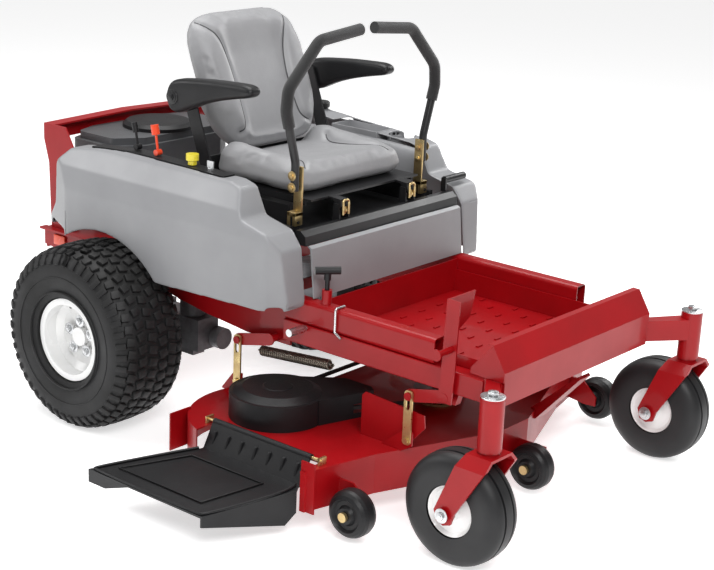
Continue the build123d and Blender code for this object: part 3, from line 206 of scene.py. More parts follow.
def make_grain():
    """Relief of a moulded or sprayed face: small cells over a slow wave."""
    group, start, end = new_effect(
        "fine_grain",
        [("Cells", "NodeSocketFloat", 900.0), ("Wave", "NodeSocketFloat", 8.0),
         ("Wave Share", "NodeSocketFloat", 0.3)],
        [("Height", "NodeSocketFloat"), ("Cell", "NodeSocketFloat")])
    where = add_node(group, "ShaderNodeTexCoord")
    cells = add_node(group, "ShaderNodeTexVoronoi", feature="F1")
    wave = add_node(group, "ShaderNodeTexNoise")
    wave.inputs["Detail"].default_value = 2.0
    mix = add_node(group, "ShaderNodeMix", data_type="FLOAT")
    group.links.new(where.outputs["Object"], cells.inputs["Vector"])
    group.links.new(where.outputs["Object"], wave.inputs["Vector"])
    group.links.new(start.outputs["Cells"], cells.inputs["Scale"])
    group.links.new(start.outputs["Wave"], wave.inputs["Scale"])
    group.links.new(start.outputs["Wave Share"], mix.inputs["Factor"])
    group.links.new(cells.outputs["Distance"], mix.inputs["A"])
    group.links.new(wave.outputs["Fac"], mix.inputs["B"])
    group.links.new(mix.outputs["Result"], end.inputs["Height"])
    group.links.new(cells.outputs["Distance"], end.inputs["Cell"])
    return group


EFFECTS = {"drift": make_colour_drift(), "dust": make_dust(), "grain": make_grain()}


def use_effect(tree, name, **values):
    node = tree.nodes.new("ShaderNodeGroup")
    node.node_tree = EFFECTS[name]
    for label, value in values.items():
        node.inputs[label.replace("_", " ")].default_value = value
    return node


def finish_of(name, light, dark, rough, rough_spread=0.08, metal=0.0, drift=6.0, cells=900.0, wave=8.0,
              wave_share=0.3, relief=0.0002, depth=0.4, dust=0.0, dust_tint=(0.42, 0.38, 0.33, 1.0),
              coat=0.0, coat_rough=0.08, sheen=0.0, specular=0.5):
    """One surface finish: two tones that drift, a grain, a roughness that varies and some dust."""
    material = bpy.data.materials.new(name)
    material.use_nodes = True
    tree = material.node_tree
    shader = tree.nodes["Principled BSDF"]
    tones = use_effect(tree, "drift", Light=(*light, 1.0), Dark=(*dark, 1.0), Scale=drift)
    grain = use_effect(tree, "grain", Cells=cells, Wave=wave, Wave_Share=wave_share)
    colour = tones.outputs["Color"]
    rough_range = tree.nodes.new("ShaderNodeMapRange")
    rough_range.inputs["To Min"].default_value = max(rough - rough_spread, 0.02)
    rough_range.inputs["To Max"].default_value = min(rough + rough_spread, 1.0)
    tree.links.new(tones.outputs["Value"], rough_range.inputs["Value"])
    roughness = rough_range.outputs["Result"]
    if dust:
        mask = use_effect(tree, "dust", Amount=dust)
        mixed = add_node(tree, "ShaderNodeMix", data_type="RGBA")
        mixed.inputs["B"].default_value = dust_tint
        tree.links.new(mask.outputs["Mask"], mixed.inputs["Factor"])
        tree.links.new(colour, mixed.inputs["A"])
        colour = mixed.outputs["Result"]
        added = add_node(tree, "ShaderNodeMath", operation="ADD", use_clamp=True)
        tree.links.new(roughness, added.inputs[0])
        tree.links.new(mask.outputs["Mask"], added.inputs[1])
        roughness = added.outputs["Value"]
    bump = tree.nodes.new("ShaderNodeBump")
    bump.inputs["Distance"].default_value = relief
    bump.inputs["Strength"].default_value = depth
    tree.links.new(grain.outputs["Height"], bump.inputs["Height"])
    tree.links.new(bump.outputs["Normal"], shader.inputs["Normal"])
    tree.links.new(colour, shader.inputs["Base Color"])
    tree.links.new(roughness, shader.inputs["Roughness"])
    shader.inputs["Metallic"].default_value = metal
    shader.inputs["Coat Weight"].default_value = coat
    shader.inputs["Coat Roughness"].default_value = coat_rough
    shader.inputs["Sheen Weight"].default_value = sheen
    shader.inputs["Specular IOR Level"].default_value = specular
    return material


FINISH = {
    "red_paint": finish_of("red_paint", (0.34, 0.003, 0.006), (0.27, 0.002, 0.004), 0.36, 0.05, cells=260.0,
                           wave=60.0, wave_share=0.75, relief=0.0004, depth=0.12, specular=0.22, coat=0.22,
                           coat_rough=0.06),
    "pod_plastic": finish_of("pod_plastic", (0.262, 0.264, 0.274), (0.235, 0.237, 0.247), 0.4, 0.05,
                             cells=1400.0, wave=16.0, wave_share=0.15, relief=0.0002, depth=0.3,
                             coat=0.15, coat_rough=0.3),
    "black_plastic": finish_of("black_plastic", (0.011, 0.011, 0.012), (0.007, 0.007, 0.008), 0.4, 0.08,
                               cells=1100.0, relief=0.0003, depth=0.5, dust=0.008, specular=0.3),
    "black_paint": finish_of("black_paint", (0.016, 0.016, 0.017), (0.010, 0.010, 0.011), 0.35, 0.07,
                             cells=500.0, wave=70.0, wave_share=0.6, relief=0.0003, depth=0.2, specular=0.3,
                             coat=0.15, coat_rough=0.2),
    "drive_tyre": finish_of("drive_tyre", (0.012, 0.012, 0.013), (0.007, 0.007, 0.007), 0.6, 0.1,
                            cells=420.0, wave=30.0, relief=0.0005, depth=0.6, dust=0.02, specular=0.35),
    "caster_tyre": finish_of("caster_tyre", (0.012, 0.012, 0.013), (0.007, 0.007, 0.008), 0.46, 0.1,
                             cells=600.0, wave=24.0, relief=0.0004, depth=0.4, dust=0.02, specular=0.4),
    "white_rim": finish_of("white_rim", (0.82, 0.82, 0.81), (0.76, 0.76, 0.76), 0.28, 0.06, cells=300.0,
                           wave=50.0, wave_share=0.7, relief=0.0003, depth=0.12, coat=0.5, coat_rough=0.1,
                           dust=0.04),
    "seat_vinyl": finish_of("seat_vinyl", (0.268, 0.268, 0.276), (0.235, 0.235, 0.243), 0.42, 0.06, drift=9.0,
                            cells=620.0, wave=26.0, wave_share=0.25, relief=0.0005, depth=0.55, sheen=0.1),
    "foam_grip": finish_of("foam_grip", (0.010, 0.010, 0.011), (0.006, 0.006, 0.006), 0.78, 0.08,
                           cells=1500.0, relief=0.0007, depth=0.8, sheen=0.2),
    "zinc_gold": finish_of("zinc_gold", (0.66, 0.52, 0.25), (0.52, 0.36, 0.17), 0.33, 0.1, metal=0.9,
                           drift=38.0, cells=700.0, wave=90.0, wave_share=0.6, relief=0.0003, depth=0.25),
    "zinc": finish_of("zinc", (0.66, 0.67, 0.68), (0.50, 0.51, 0.52), 0.28, 0.1, metal=0.95, drift=40.0,
                      cells=700.0, wave=80.0, wave_share=0.6, relief=0.0002, depth=0.2),
    "cast_alloy": finish_of("cast_alloy", (0.20, 0.20, 0.21), (0.11, 0.11, 0.115), 0.5, 0.12, metal=0.7,
                            drift=16.0, cells=420.0, relief=0.001, depth=0.7, dust=0.1),
    "shroud_grey": finish_of("shroud_grey", (0.085, 0.088, 0.094), (0.06, 0.062, 0.066), 0.38, 0.07,
                             cells=1200.0, relief=0.0003, depth=0.4, dust=0.05),
    "silencer": finish_of("silencer", (0.045, 0.043, 0.042), (0.025, 0.023, 0.022), 0.55, 0.12, metal=0.5,
                          drift=20.0, cells=500.0, relief=0.0006, depth=0.5),
    "spring_steel": finish_of("spring_steel", (0.40, 0.35, 0.29), (0.24, 0.20, 0.165), 0.36, 0.1, metal=0.9,
                              drift=60.0, cells=500.0, relief=0.0003, depth=0.3),
    "belt_rubber": finish_of("belt_rubber", (0.018, 0.018, 0.018), (0.011, 0.011, 0.011), 0.66, 0.08,
                             cells=800.0, relief=0.0004, depth=0.5),
    "orange_knob": finish_of("orange_knob", (0.80, 0.065, 0.012), (0.70, 0.05, 0.01), 0.3, 0.05,
                             cells=900.0, relief=0.0002, depth=0.3, coat=0.3),
    "yellow_knob": finish_of("yellow_knob", (0.74, 0.62, 0.03), (0.66, 0.54, 0.02), 0.32, 0.05,
                             cells=900.0, relief=0.0002, depth=0.3, coat=0.3),
    "blade_steel": finish_of("blade_steel", (0.24, 0.24, 0.24), (0.14, 0.14, 0.14), 0.4, 0.12, metal=0.9,
                             drift=14.0, cells=300.0, relief=0.0005, depth=0.4),
}
for part in frame["record"]["subparts"]:
    skin = nodes[part["node"]].data.materials
    skin.clear()
    skin.append(FINISH[part["material_slot"]])


# ---- modelling helpers --------------------------------------------------------------------------
def pick_nothing():
    if bpy.context.mode != "OBJECT":
        bpy.ops.object.mode_set(mode="OBJECT")
    bpy.ops.object.select_all(action="DESELECT")


def only(piece):
    pick_nothing()
    piece.select_set(True)
    bpy.context.view_layer.objects.active = piece
    return piece


def start_block(name, low, high, turn=(0.0, 0.0, 0.0)):
    """A cube stretched between two corners, left in object mode with its place in its mesh."""
    pick_nothing()
    low, high = Vector(low), Vector(high)
    bpy.ops.mesh.primitive_cube_add(size=1.0, location=(low + high) / 2, rotation=turn)
    piece = bpy.context.active_object
    piece.name = name
    piece.scale = high - low
    return settle(piece)


def start_drum(name, centre, radius, depth, axis="X", sides=32):
    pick_nothing()
    turn = {"X": (0, math.pi / 2, 0), "Y": (math.pi / 2, 0, 0), "Z": (0, 0, 0)}[axis]
    bpy.ops.mesh.primitive_cylinder_add(vertices=sides, radius=radius, depth=depth, location=centre,
                                        rotation=turn)
    piece = bpy.context.active_object
    piece.name = name
    return settle(piece)


def settle(piece):
    """Moves a piece's place, turn and size into its mesh."""
    only(piece)
    bpy.ops.object.transform_apply(location=True, rotation=True, scale=True)
    return piece


def pick_faces(piece, test):
    """Edit mode with only the faces chosen by test(centre, normal) selected."""
    only(piece)
    bpy.ops.object.mode_set(mode="EDIT")
    bpy.ops.mesh.select_mode(type="FACE")
    bpy.ops.mesh.select_all(action="DESELECT")
    bpy.ops.object.mode_set(mode="OBJECT")
    for face in piece.data.polygons:
        face.select = test(face.center, face.normal)
    bpy.ops.object.mode_set(mode="EDIT")


def soften(piece, width, segments=3, angle=35.0):
    """Rounded edges by an applied bevel, and smooth shading."""
    only(piece)
    bevel = piece.modifiers.new("edges", "BEVEL")
    bevel.width = width
    bevel.segments = segments
    bevel.limit_method = "ANGLE"
    bevel.angle_limit = math.radians(angle)
    bpy.ops.object.modifier_apply(modifier=bevel.name)
    bpy.ops.object.shade_smooth_by_angle(angle=math.radians(40))
    return piece


def merge(name, parts):
    """Several finished parts as one piece."""
    pick_nothing()
    for part in parts:
        part.select_set(True)
    bpy.context.view_layer.objects.active = parts[0]
    if len(parts) > 1:
        bpy.ops.object.join()
    parts[0].name = name
    return parts[0]


def hand_over(piece, body, slot, finish=None, stands_for=()):
    """Finish and body of a new piece; the slot gives its finish when none is given."""
    piece.data.materials.clear()
    piece.data.materials.append(finish or FINISH[slot])
    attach(piece, body)
    if stands_for:
        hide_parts(*stands_for)
    return piece


def lathe(name, centre, profile, steps=96):
    """A ring spun about the x axis through centre, from (x offset, radius) points in millimetres."""
    pick_nothing()
    first = centre + Vector((profile[0][0], 0, profile[0][1])) / 1000
    bpy.ops.mesh.primitive_plane_add(size=0.01, location=first)
    ring = bpy.context.active_object
    ring.name = name
    bpy.ops.object.mode_set(mode="EDIT")
    bpy.ops.mesh.merge(type="CENTER")
    for before, after in zip(profile, profile[1:]):
        step = ((after[0] - before[0]) / 1000, 0, (after[1] - before[1]) / 1000)
        bpy.ops.mesh.extrude_vertices_move(TRANSFORM_OT_translate={"value": step})
    bpy.ops.mesh.select_all(action="SELECT")
    bpy.ops.mesh.spin(steps=steps, angle=math.tau, center=centre, axis=(1, 0, 0))
    bpy.ops.mesh.select_all(action="SELECT")
    bpy.ops.mesh.remove_doubles(threshold=0.00005)
    bpy.ops.mesh.normals_make_consistent(inside=False)
    bpy.ops.object.mode_set(mode="OBJECT")
    return settle(ring)


def bent_wire(name, points, radius, closed=False, smooth=True, detail=6):
    """A round wire along machine points."""
    pick_nothing()
    data = bpy.data.curves.new(name, "CURVE")
    data.dimensions = "3D"
    data.bevel_depth = radius
    data.bevel_resolution = 4
    data.use_fill_caps = True
    line = data.splines.new("NURBS" if smooth else "POLY")
    line.points.add(len(points) - 1)
    for spot, point in zip(line.points, points):
        spot.co = (*point, 1.0)
    if smooth:
        line.order_u = 3
        line.use_endpoint_u = not closed
        line.resolution_u = detail
    line.use_cyclic_u = closed
    wire = bpy.data.objects.new(name, data)
    bpy.context.scene.collection.objects.link(wire)
    only(wire)
    bpy.ops.object.convert(target="MESH")
    wire = bpy.context.active_object
    bpy.ops.object.shade_smooth_by_angle(angle=math.radians(60))
    return settle(wire)


def hex_bolt(name, centre, axis, across=0.0065, height=0.006):
    """Washer, six-sided head and domed end of one bolt."""
    along = {"X": Vector((1, 0, 0)), "Y": Vector((0, 1, 0)), "Z": Vector((0, 0, 1))}[axis[-1]]
    along = along * (-1 if axis[0] == "-" else 1)
    centre = Vector(centre)
    washer = soften(start_drum(name + "_washer", centre + along * 0.0009, across * 1.7, 0.0018, axis[-1], 28),
                    0.0004, 2)
    head = start_drum(name + "_head", centre + along * (0.0018 + height / 2), across, height, axis[-1], 6)
    soften(head, 0.0007, 2)
    end = start_drum(name + "_end", centre + along * (0.0018 + height + 0.0009), across * 0.55, 0.0018,
                     axis[-1], 18)
    soften(end, 0.0006, 2)
    return merge(name, [washer, head, end])


# ---- tyres --------------------------------------------------------------------------------------
def turf_tyre(side, centre):
    """Carcass with rounded shoulders, and staggered blocks spun round its tread."""
    outer, half = 247.0, 116.0
    profile = [(-58, 116), (-104, 118), (-108, 128), (-113, 160), (-half, 186), (-113, 208), (-104, 226),
               (-88, 238), (-60, 244), (-20, outer), (20, outer), (60, 244), (88, 238), (104, 226), (113, 208),
               (half, 186), (113, 160), (108, 128), (104, 118), (58, 116)]
    tyre = lathe("turf_carcass_" + side, centre, profile, 96)
    blocks = []
    rows = ((-84, 240, 22), (-52, 246, 26), (-18, 248, 26), (18, 248, 26), (52, 246, 26), (84, 240, 22))
    pitch = math.tau / 46
    for number, (across, radius, width) in enumerate(rows):
        shift = pitch * (0.5 if number % 2 else 0.0) + (0.25 if number in (1, 4) else 0.0) * pitch
        lift = math.radians({0: -24, 5: 24}.get(number, 0))
        spot = centre + Vector((across / 1000, -math.sin(shift) * radius / 1000,
                                math.cos(shift) * radius / 1000))
        slant = math.radians(14 if number % 2 else -14)
        pick_nothing()
        bpy.ops.mesh.primitive_cube_add(size=1.0, location=spot, rotation=(shift, lift, slant))
        block = bpy.context.active_object
        block.scale = (width / 1000, 0.0215, 0.0125)
        blocks.append(settle(block))
    for sign in (-1, 1):
        shift = pitch * 0.25
        spot = centre + Vector((sign * 0.1045, -math.sin(shift) * 0.223, math.cos(shift) * 0.223))
        pick_nothing()
        bpy.ops.mesh.primitive_cube_add(size=1.0, location=spot, rotation=(shift, sign * math.radians(56), 0))
        block = bpy.context.active_object
        block.scale = (0.030, 0.0160, 0.0100)
        blocks.append(settle(block))
    tread = merge("turf_blocks_" + side, blocks)
    soften(tread, 0.0018, 2)
    bpy.ops.object.mode_set(mode="EDIT")
    bpy.ops.mesh.select_all(action="SELECT")
    bpy.ops.mesh.spin(steps=46, dupli=True, angle=math.tau, center=centre, axis=(1, 0, 0))
    bpy.ops.object.mode_set(mode="OBJECT")
    only(tyre)
    bpy.ops.object.shade_smooth_by_angle(angle=math.radians(50))
    rings = [lathe("sidewall_ring_%s_%d" % (side, number), centre,
                   [(sign * 112.0, radius - 3), (sign * 116.5, radius - 1.5), (sign * 116.5, radius + 1.5),
                    (sign * 112.0, radius + 3), (sign * 110.0, radius)], 96)
             for number, (sign, radius) in enumerate(((-1, 176), (1, 176), (-1, 134), (1, 134)))]
    for ring in rings:
        only(ring)
        bpy.ops.object.shade_smooth_by_angle(angle=math.radians(60))
    tyre = merge("turf_tyre_" + side, [tyre, tread] + rings)
    return hand_over(tyre, "drive_wheel_" + side, "drive_tyre", stands_for=("drive_tyre_" + side,))


def ribbed_tyre(side, centre):
    """Caster tyre with round shoulders and two grooves round its tread."""
    profile = [(-46, 64), (-48, 80), (-49.6, 98), (-48, 114), (-42, 127), (-33, 134.5), (-24, 137.6),
               (-19, 138.2), (-18, 134), (-14, 134), (-13, 139), (0, 139.4), (13, 139), (14, 134), (18, 134),
               (19, 138.2), (24, 137.6), (33, 134.5), (42, 127), (48, 114), (49.6, 98), (48, 80), (46, 64),
               (30, 63)]
    tyre = lathe("ribbed_tyre_" + side, centre, profile, 88)
    only(tyre)
    bpy.ops.object.shade_smooth_by_angle(angle=math.radians(35))
    return hand_over(tyre, "caster_wheel_" + side, "caster_tyre", stands_for=("caster_tyre_" + side,))


for side in ("left", "right"):
    turf_tyre(side, middle("drive_tyre_" + side))
    ribbed_tyre(side, middle("caster_tyre_" + side))


# ---- seat ---------------------------------------------------------------------------------------
def between(value, table):
    """Value read from a table of (at, value) pairs, straight between them."""
    if value <= table[0][0]:
        return table[0][1]
    for (a, first), (b, second) in zip(table, table[1:]):
        if value <= b:
            return first + (second - first) * (value - a) / (b - a)
    return table[-1][1]


def ease(value, low, high):
    share = min(max((value - low) / (high - low), 0.0), 1.0)
    return share * share * (3 - 2 * share)


def pad_shell(name, columns, rows, point):
    """Closed pad from two facing sheets: point(u, v, side) gives each machine point."""
    mesh = bpy.data.meshes.new(name)
    spots, faces = [], []
    count = (columns + 1) * (rows + 1)
    for side in (-1, 1):
        for row in range(rows + 1):
            for column in range(columns + 1):
                u, v = 2 * column / columns - 1, 2 * row / rows - 1
                spots.append(place(*point(u, v, side)))
    for side in (0, 1):
        for row in range(rows):
            for column in range(columns):
                a = side * count + row * (columns + 1) + column
                face = (a, a + 1, a + columns + 2, a + columns + 1)
                faces.append(face if side == 0 else face[::-1])
    rim = list(range(columns + 1))
    rim += [row * (columns + 1) + columns for row in range(1, rows + 1)]
    rim += [rows * (columns + 1) + column for column in range(columns - 1, -1, -1)]
    rim += [row * (columns + 1) for row in range(rows - 1, 0, -1)]
    for a, b in zip(rim, rim[1:] + rim[:1]):
        faces.append((b, a, a + count, b + count))
    mesh.from_pydata(spots, [], faces)
    pad = bpy.data.objects.new(name, mesh)
    bpy.context.scene.collection.objects.link(pad)
    only(pad)
    bpy.ops.object.mode_set(mode="EDIT")
    bpy.ops.mesh.select_all(action="SELECT")
    bpy.ops.mesh.remove_doubles(threshold=0.0004)
    bpy.ops.mesh.normals_make_consistent(inside=False)
    bpy.ops.object.mode_set(mode="OBJECT")
    return pad


def plump(pad, voxel, reach):
    """Voxel remesh, then cloth under pressure, with each point's move held under reach."""
    only(pad)
    pad.data.remesh_voxel_size = voxel
    bpy.ops.object.voxel_remesh()
    start = [v.co.copy() for v in pad.data.vertices]
    cloth = pad.modifiers.new("swell", "CLOTH")
    cloth.settings.use_pressure = True
    cloth.settings.uniform_pressure_force = PAD_PRESSURE
    cloth.settings.effector_weights.gravity = 0.0
    cloth.settings.quality = 5
    cloth.point_cache.frame_start = 1
    cloth.point_cache.frame_end = SWELL_FRAMES
    for number in range(1, SWELL_FRAMES + 1):
        bpy.context.scene.frame_set(number)
    bpy.ops.object.modifier_apply(modifier=cloth.name)
    for vertex, before in zip(pad.data.vertices, start):
        move = vertex.co - before
        if move.length > reach:
            vertex.co = before + move * (reach / move.length)
    bpy.context.scene.frame_set(1)
    smooth = pad.modifiers.new("ease", "SMOOTH")
    smooth.factor = 0.5
    smooth.iterations = 6
    bpy.ops.object.modifier_apply(modifier=smooth.name)
    finer = pad.modifiers.new("finer", "SUBSURF")
    finer.levels = finer.render_levels = 1
    bpy.ops.object.modifier_apply(modifier=finer.name)
    bpy.ops.object.shade_smooth()
    return pad


def sewn_line(pad, name, points, ray, depth=0.0045, width=0.009, cord=0.0019):
    """Sinks the pad along a seam and lays a round seam cord in it, which make_seat gives a dark finish that is
    painted shade of the seam groove. Points are machine points before the surface, and ray is the direction
    that meets it."""
    guide = bent_guide(points)
    hits = []
    for spot in guide:
        found, where, _, _ = pad.ray_cast(spot, Vector(ray))
        if found:
            hits.append(where.copy())
    for vertex in pad.data.vertices:
        near = min((vertex.co - hit).length for hit in hits)
        if near < 3 * width:
            vertex.co += Vector(ray) * depth * math.exp(-(near / width) ** 2)
    pad.data.update()
    line = []
    for spot in guide:
        found, where, _, _ = pad.ray_cast(spot, Vector(ray))
        if found:
            line.append(where - Vector(ray) * cord * 0.1)
    return bent_wire(name, line[::2] + line[-1:], cord)


def bent_guide(points):
    """Even points along a smooth line through machine points."""
    data = bpy.data.curves.new("guide", "CURVE")
    data.dimensions = "3D"
    line = data.splines.new("NURBS")
    line.points.add(len(points) - 1)
    for spot, point in zip(line.points, points):
        spot.co = (*place(*point), 1.0)
    line.order_u = 3
    line.use_endpoint_u = True
    line.resolution_u = 14
    guide = bpy.data.objects.new("guide", data)
    mesh = bpy.data.meshes.new_from_object(guide)
    spots = [v.co.copy() for v in mesh.vertices]
    bpy.data.meshes.remove(mesh)
    bpy.data.objects.remove(guide)
    return spots


ARM_PIVOT = (-127, 904)
PAD_PRESSURE, SWELL_FRAMES = 4.0, 20
# height and depth of the backrest's front and rear faces, lowest first
BACK_FRONT = ((745, -250), (765, -258), (830, -230), (1010, -150), (1085, -114), (1112, -96))
BACK_REAR = ((745, -166), (830, -134), (1010, -68), (1085, -42), (1112, -44))


def rounded(u, v, power):
    """Moves a point of the square sheet onto a rounded one, and gives how near it is to the rim."""
    reach = max(abs(u), abs(v))
    if reach < 1e-6:
        return 0.0, 0.0, 0.0
    pull = ((abs(u) / reach) ** power + (abs(v) / reach) ** power) ** (1 / power)
    return u / pull, v / pull, min(reach, 1.0)


def back_point(u, v, side):
    u, v, near = rounded(u, v, 4.6)
    z = 928 + 184 * v
    x = (212 - 30 * (1 - ease(z, 745, 880))) * u
    crown = (1 - near ** 7) ** 0.42
    front, rear = between(z, BACK_FRONT), between(z, BACK_REAR)
    centre = (front + rear) / 2
    if side < 0:
        wing = ease(abs(x), 84, 138)
        hollow = 24 * (1 - wing) * (1 - 0.75 * ease(z, 990, 1100)) * ease(z, 745, 800)
        y = centre + (front - centre) * crown + hollow * crown
    else:
        y = centre + (rear - centre) * crown
    return x, y, z


def cushion_point(u, v, side):
    u, v, near = rounded(u, v, 7.0)
    y, x = -361 + 168 * v, 231 * u
    crown = (1 - near ** 9) ** 0.4
    top = between(y, ((-530, 752), (-500, 768), (-440, 762), (-300, 744), (-200, 742)))
    bolster = ease(abs(x), 118, 172)
    top += bolster * between(y, ((-520, 0), (-470, 4), (-380, 18), (-300, 36), (-262, 44), (-200, 44)))
    low, centre = 699, 722
    if side < 0:
        return x, y, centre + (top - centre) * crown
    return x, y, centre - (centre - low) * crown


def make_seat():
    back = plump(pad_shell("seat_back_pad", 48, 44, back_point), 0.0055, 0.008)
    cushion = plump(pad_shell("seat_cushion_pad", 48, 40, cushion_point), 0.0055, 0.007)
    ahead = (0, 1, 0)
    seams = []
    for sign, name in ((-1, "right"), (1, "left")):
        seams.append(sewn_line(back, "back_piping_" + name,
                               [(sign * 172, -420, 1084), (sign * 140, -420, 1068), (sign * 114, -420, 1010),
                                (sign * 104, -420, 930), (sign * 106, -420, 860), (sign * 112, -420, 812),
                                (sign * 140, -420, 806)],
                               ahead, depth=0.008, width=0.010))
        seams.append(sewn_line(cushion, "cushion_piping_" + name,
                               [(sign * 150, -285, 900), (sign * 136, -300, 900), (sign * 132, -350, 900),
                                (sign * 136, -420, 900), (sign * 150, -468, 900), (sign * 172, -492, 900)],
                               (0, 0, -1), depth=0.006, width=0.010, cord=0.0016))
    # The real piping is the same light vinyl as the seat, with deep shade in its grooves; the dark grey of
    # this cord finish is painted shade of those seam grooves.
    seam_painted_shade = finish_of("seat_seam_painted_shade", (0.06, 0.06, 0.064), (0.04, 0.04, 0.043), 0.5, 0.06, cells=1400.0,
                       relief=0.0003, depth=0.4)
    hand_over(merge("seat_seam_painted_shade", seams), "seat", "seat_vinyl", seam_painted_shade)
    hand_over(back, "seat", "seat_vinyl", stands_for=("seat_back",))
    hand_over(cushion, "seat", "seat_vinyl", stands_for=("seat_cushion",))


def make_armrest(side, sign):
    """Moulded arm, rounded all over, with the cap and bolt of its pivot."""
    outline = [(26, -20), (30, 12), (14, 40), (-14, 50), (-70, 56), (-140, 63), (-220, 66), (-268, 68),
               (-285, 56), (-280, 36), (-240, 30), (-160, 12), (-90, -10), (-44, -34), (-8, -44), (14, -38)]
    data = bpy.data.curves.new("arm", "CURVE")
    data.dimensions, data.fill_mode = "2D", "BOTH"
    data.extrude, data.bevel_depth, data.bevel_resolution, data.offset = 0.009, 0.014, 5, -0.014
    line = data.splines.new("NURBS")
    line.points.add(len(outline) - 1)
    for spot, (y, z) in zip(line.points, outline):
        spot.co = (y / 1000, z / 1000, 0.0, 1.0)
    line.use_cyclic_u, line.order_u, line.resolution_u = True, 4, 6
    arm = bpy.data.objects.new("arm_pad_" + side, data)
    bpy.context.scene.collection.objects.link(arm)
    only(arm)
    bpy.ops.object.convert(target="MESH")
    arm = bpy.context.object
    centre = place(sign * 273.5, *ARM_PIVOT)
    for vertex in arm.data.vertices:
        y, z, x = vertex.co
        vertex.co = centre + Vector((x, y, z))
    bpy.ops.object.mode_set(mode="EDIT")
    bpy.ops.mesh.select_all(action="SELECT")
    bpy.ops.mesh.remove_doubles(threshold=0.0002)
    bpy.ops.mesh.normals_make_consistent(inside=False)
    bpy.ops.object.mode_set(mode="OBJECT")
    bpy.ops.object.shade_smooth_by_angle(angle=math.radians(40))
    hand_over(arm, "armrest_" + side, "black_plastic", stands_for=("armrest_" + side,))
    cap = start_drum("arm_cap_" + side, place(sign * 296, *ARM_PIVOT), 0.021, 0.005, "X", 36)
    soften(cap, 0.0018, 3)
    head = hex_bolt("arm_bolt_" + side, place(sign * 298, *ARM_PIVOT), "X" if sign > 0 else "-X",
                    0.009, 0.003)
    hand_over(merge("arm_cap_" + side, [cap, head]), "armrest_" + side, "black_paint")


make_seat()
for side, sign in (("left", 1), ("right", -1)):
    make_armrest(side, sign)


# ---- moulded body -------------------------------------------------------------------------------
def mould(node, voxel=0.0034, rounds=30):
    """Moulded copy of a body panel, its edges eased as they come out of the mould."""
    panel = bpy.data.objects.new(node + "_moulded", nodes[node].data.copy())
    bpy.context.scene.collection.objects.link(panel)
    only(panel)
    bpy.ops.object.mode_set(mode="EDIT")
    bpy.ops.mesh.select_all(action="SELECT")
    bpy.ops.mesh.remove_doubles(threshold=0.00005)
    bpy.ops.object.mode_set(mode="OBJECT")
    panel.data.remesh_voxel_size = voxel
    bpy.ops.object.voxel_remesh()
    eased = panel.modifiers.new("eased", "SMOOTH")
    eased.factor, eased.iterations = 0.5, rounds
    bpy.ops.object.modifier_apply(modifier=eased.name)
    bpy.ops.object.shade_smooth()
    hand_over(panel, "chassis", "pod_plastic", stands_for=(node,))


def make_pod_shoulder():
    """Inner shoulder of the left pod, falling from its top edge towards the seat."""
    section = [(336, 744), (322, 741), (311, 728), (304, 700), (301, 668)]
    stations = [(-498, -14), (-430, -6), (-60, 0), (60, -10), (118, -22)]
    points, faces = [], []
    for y, drop in stations:
        points += [place(x, y, z + drop) for x, z in section]
    across = len(section)
    for row in range(len(stations) - 1):
        for column in range(across - 1):
            corner = row * across + column
            faces.append((corner, corner + 1, corner + across + 1, corner + across))
    mesh = bpy.data.meshes.new("pod_shoulder")
    mesh.from_pydata(points, [], faces)
    shoulder = bpy.data.objects.new("pod_shoulder", mesh)
    bpy.context.scene.collection.objects.link(shoulder)
    only(shoulder)
    wall = shoulder.modifiers.new("wall", "SOLIDIFY")
    wall.thickness, wall.offset = 0.004, 0.0
    bpy.ops.object.modifier_apply(modifier=wall.name)
    bend = shoulder.modifiers.new("round", "SUBSURF")
    bend.levels = bend.render_levels = 3
    bpy.ops.object.modifier_apply(modifier=bend.name)
    bpy.ops.object.mode_set(mode="EDIT")
    bpy.ops.mesh.select_all(action="SELECT")
    bpy.ops.mesh.normals_make_consistent(inside=False)
    bpy.ops.object.mode_set(mode="OBJECT")
    bpy.ops.object.shade_smooth()
    hand_over(shoulder, "chassis", "pod_plastic")


def make_side_tray():
    """Open-topped liner of the tray in the left pod."""
    tray = start_block("side_tray_liner", place(331, -321, 717), place(413, -151, 757))
    pick_faces(tray, lambda centre, normal: normal.z > 0.9)
    bpy.ops.mesh.delete(type="FACE")
    bpy.ops.object.mode_set(mode="OBJECT")
    wall = tray.modifiers.new("wall", "SOLIDIFY")
    wall.thickness, wall.offset = 0.005, -1.0
    bpy.ops.object.modifier_apply(modifier=wall.name)
    hand_over(soften(tray, 0.002, 3), "chassis", "pod_plastic")


def make_tail_marker():
    marker = start_block("tail_marker", place(-311.5, 296, 404), place(-305, 344, 434))
    hand_over(soften(marker, 0.002, 3), "chassis", "orange_knob")


for side in ("left", "right"):
    mould("fender_" + side)
make_pod_shoulder()
make_side_tray()
make_tail_marker()


# ---- levers and seat hardware -------------------------------------------------------------------
def make_lever_bracket(side, sign):
    """Plated channel at the foot of the lever, with the lever's two bolts."""
    def slab(name, x, y, z):
        xs = sorted((sign * x[0], sign * x[1]))
        return start_block(name, place(xs[0], y[0], z[0]), place(xs[1], y[1], z[1]))
    parts = [slab("web", (246.3, 252.4), (-554, -526), (655, 784)),
             slab("cheek_front", (246.3, 275), (-554, -544.5), (632, 667)),
             slab("cheek_rear", (246.3, 275), (-535.5, -526), (632, 667)),
             slab("bridge", (246.3, 275), (-554, -526), (657, 667.5))]
    bracket = soften(merge("lever_bracket_" + side, parts), 0.0012, 2)
    hand_over(bracket, "lever_arm_" + side, "zinc_gold")
    axis = "X" if sign > 0 else "-X"
    bolts = [hex_bolt("lever_bolt", place(sign * 275.6, -540, z), axis, 0.0075, 0.005) for z in (732, 762)]
    bolts += [hex_bolt("lever_nut", place(sign * 246, -540, z), "-X" if sign > 0 else "X", 0.007, 0.005)
              for z in (732, 762)]
    hand_over(merge("lever_bolts_" + side, bolts), "lever_arm_" + side, "zinc_gold")


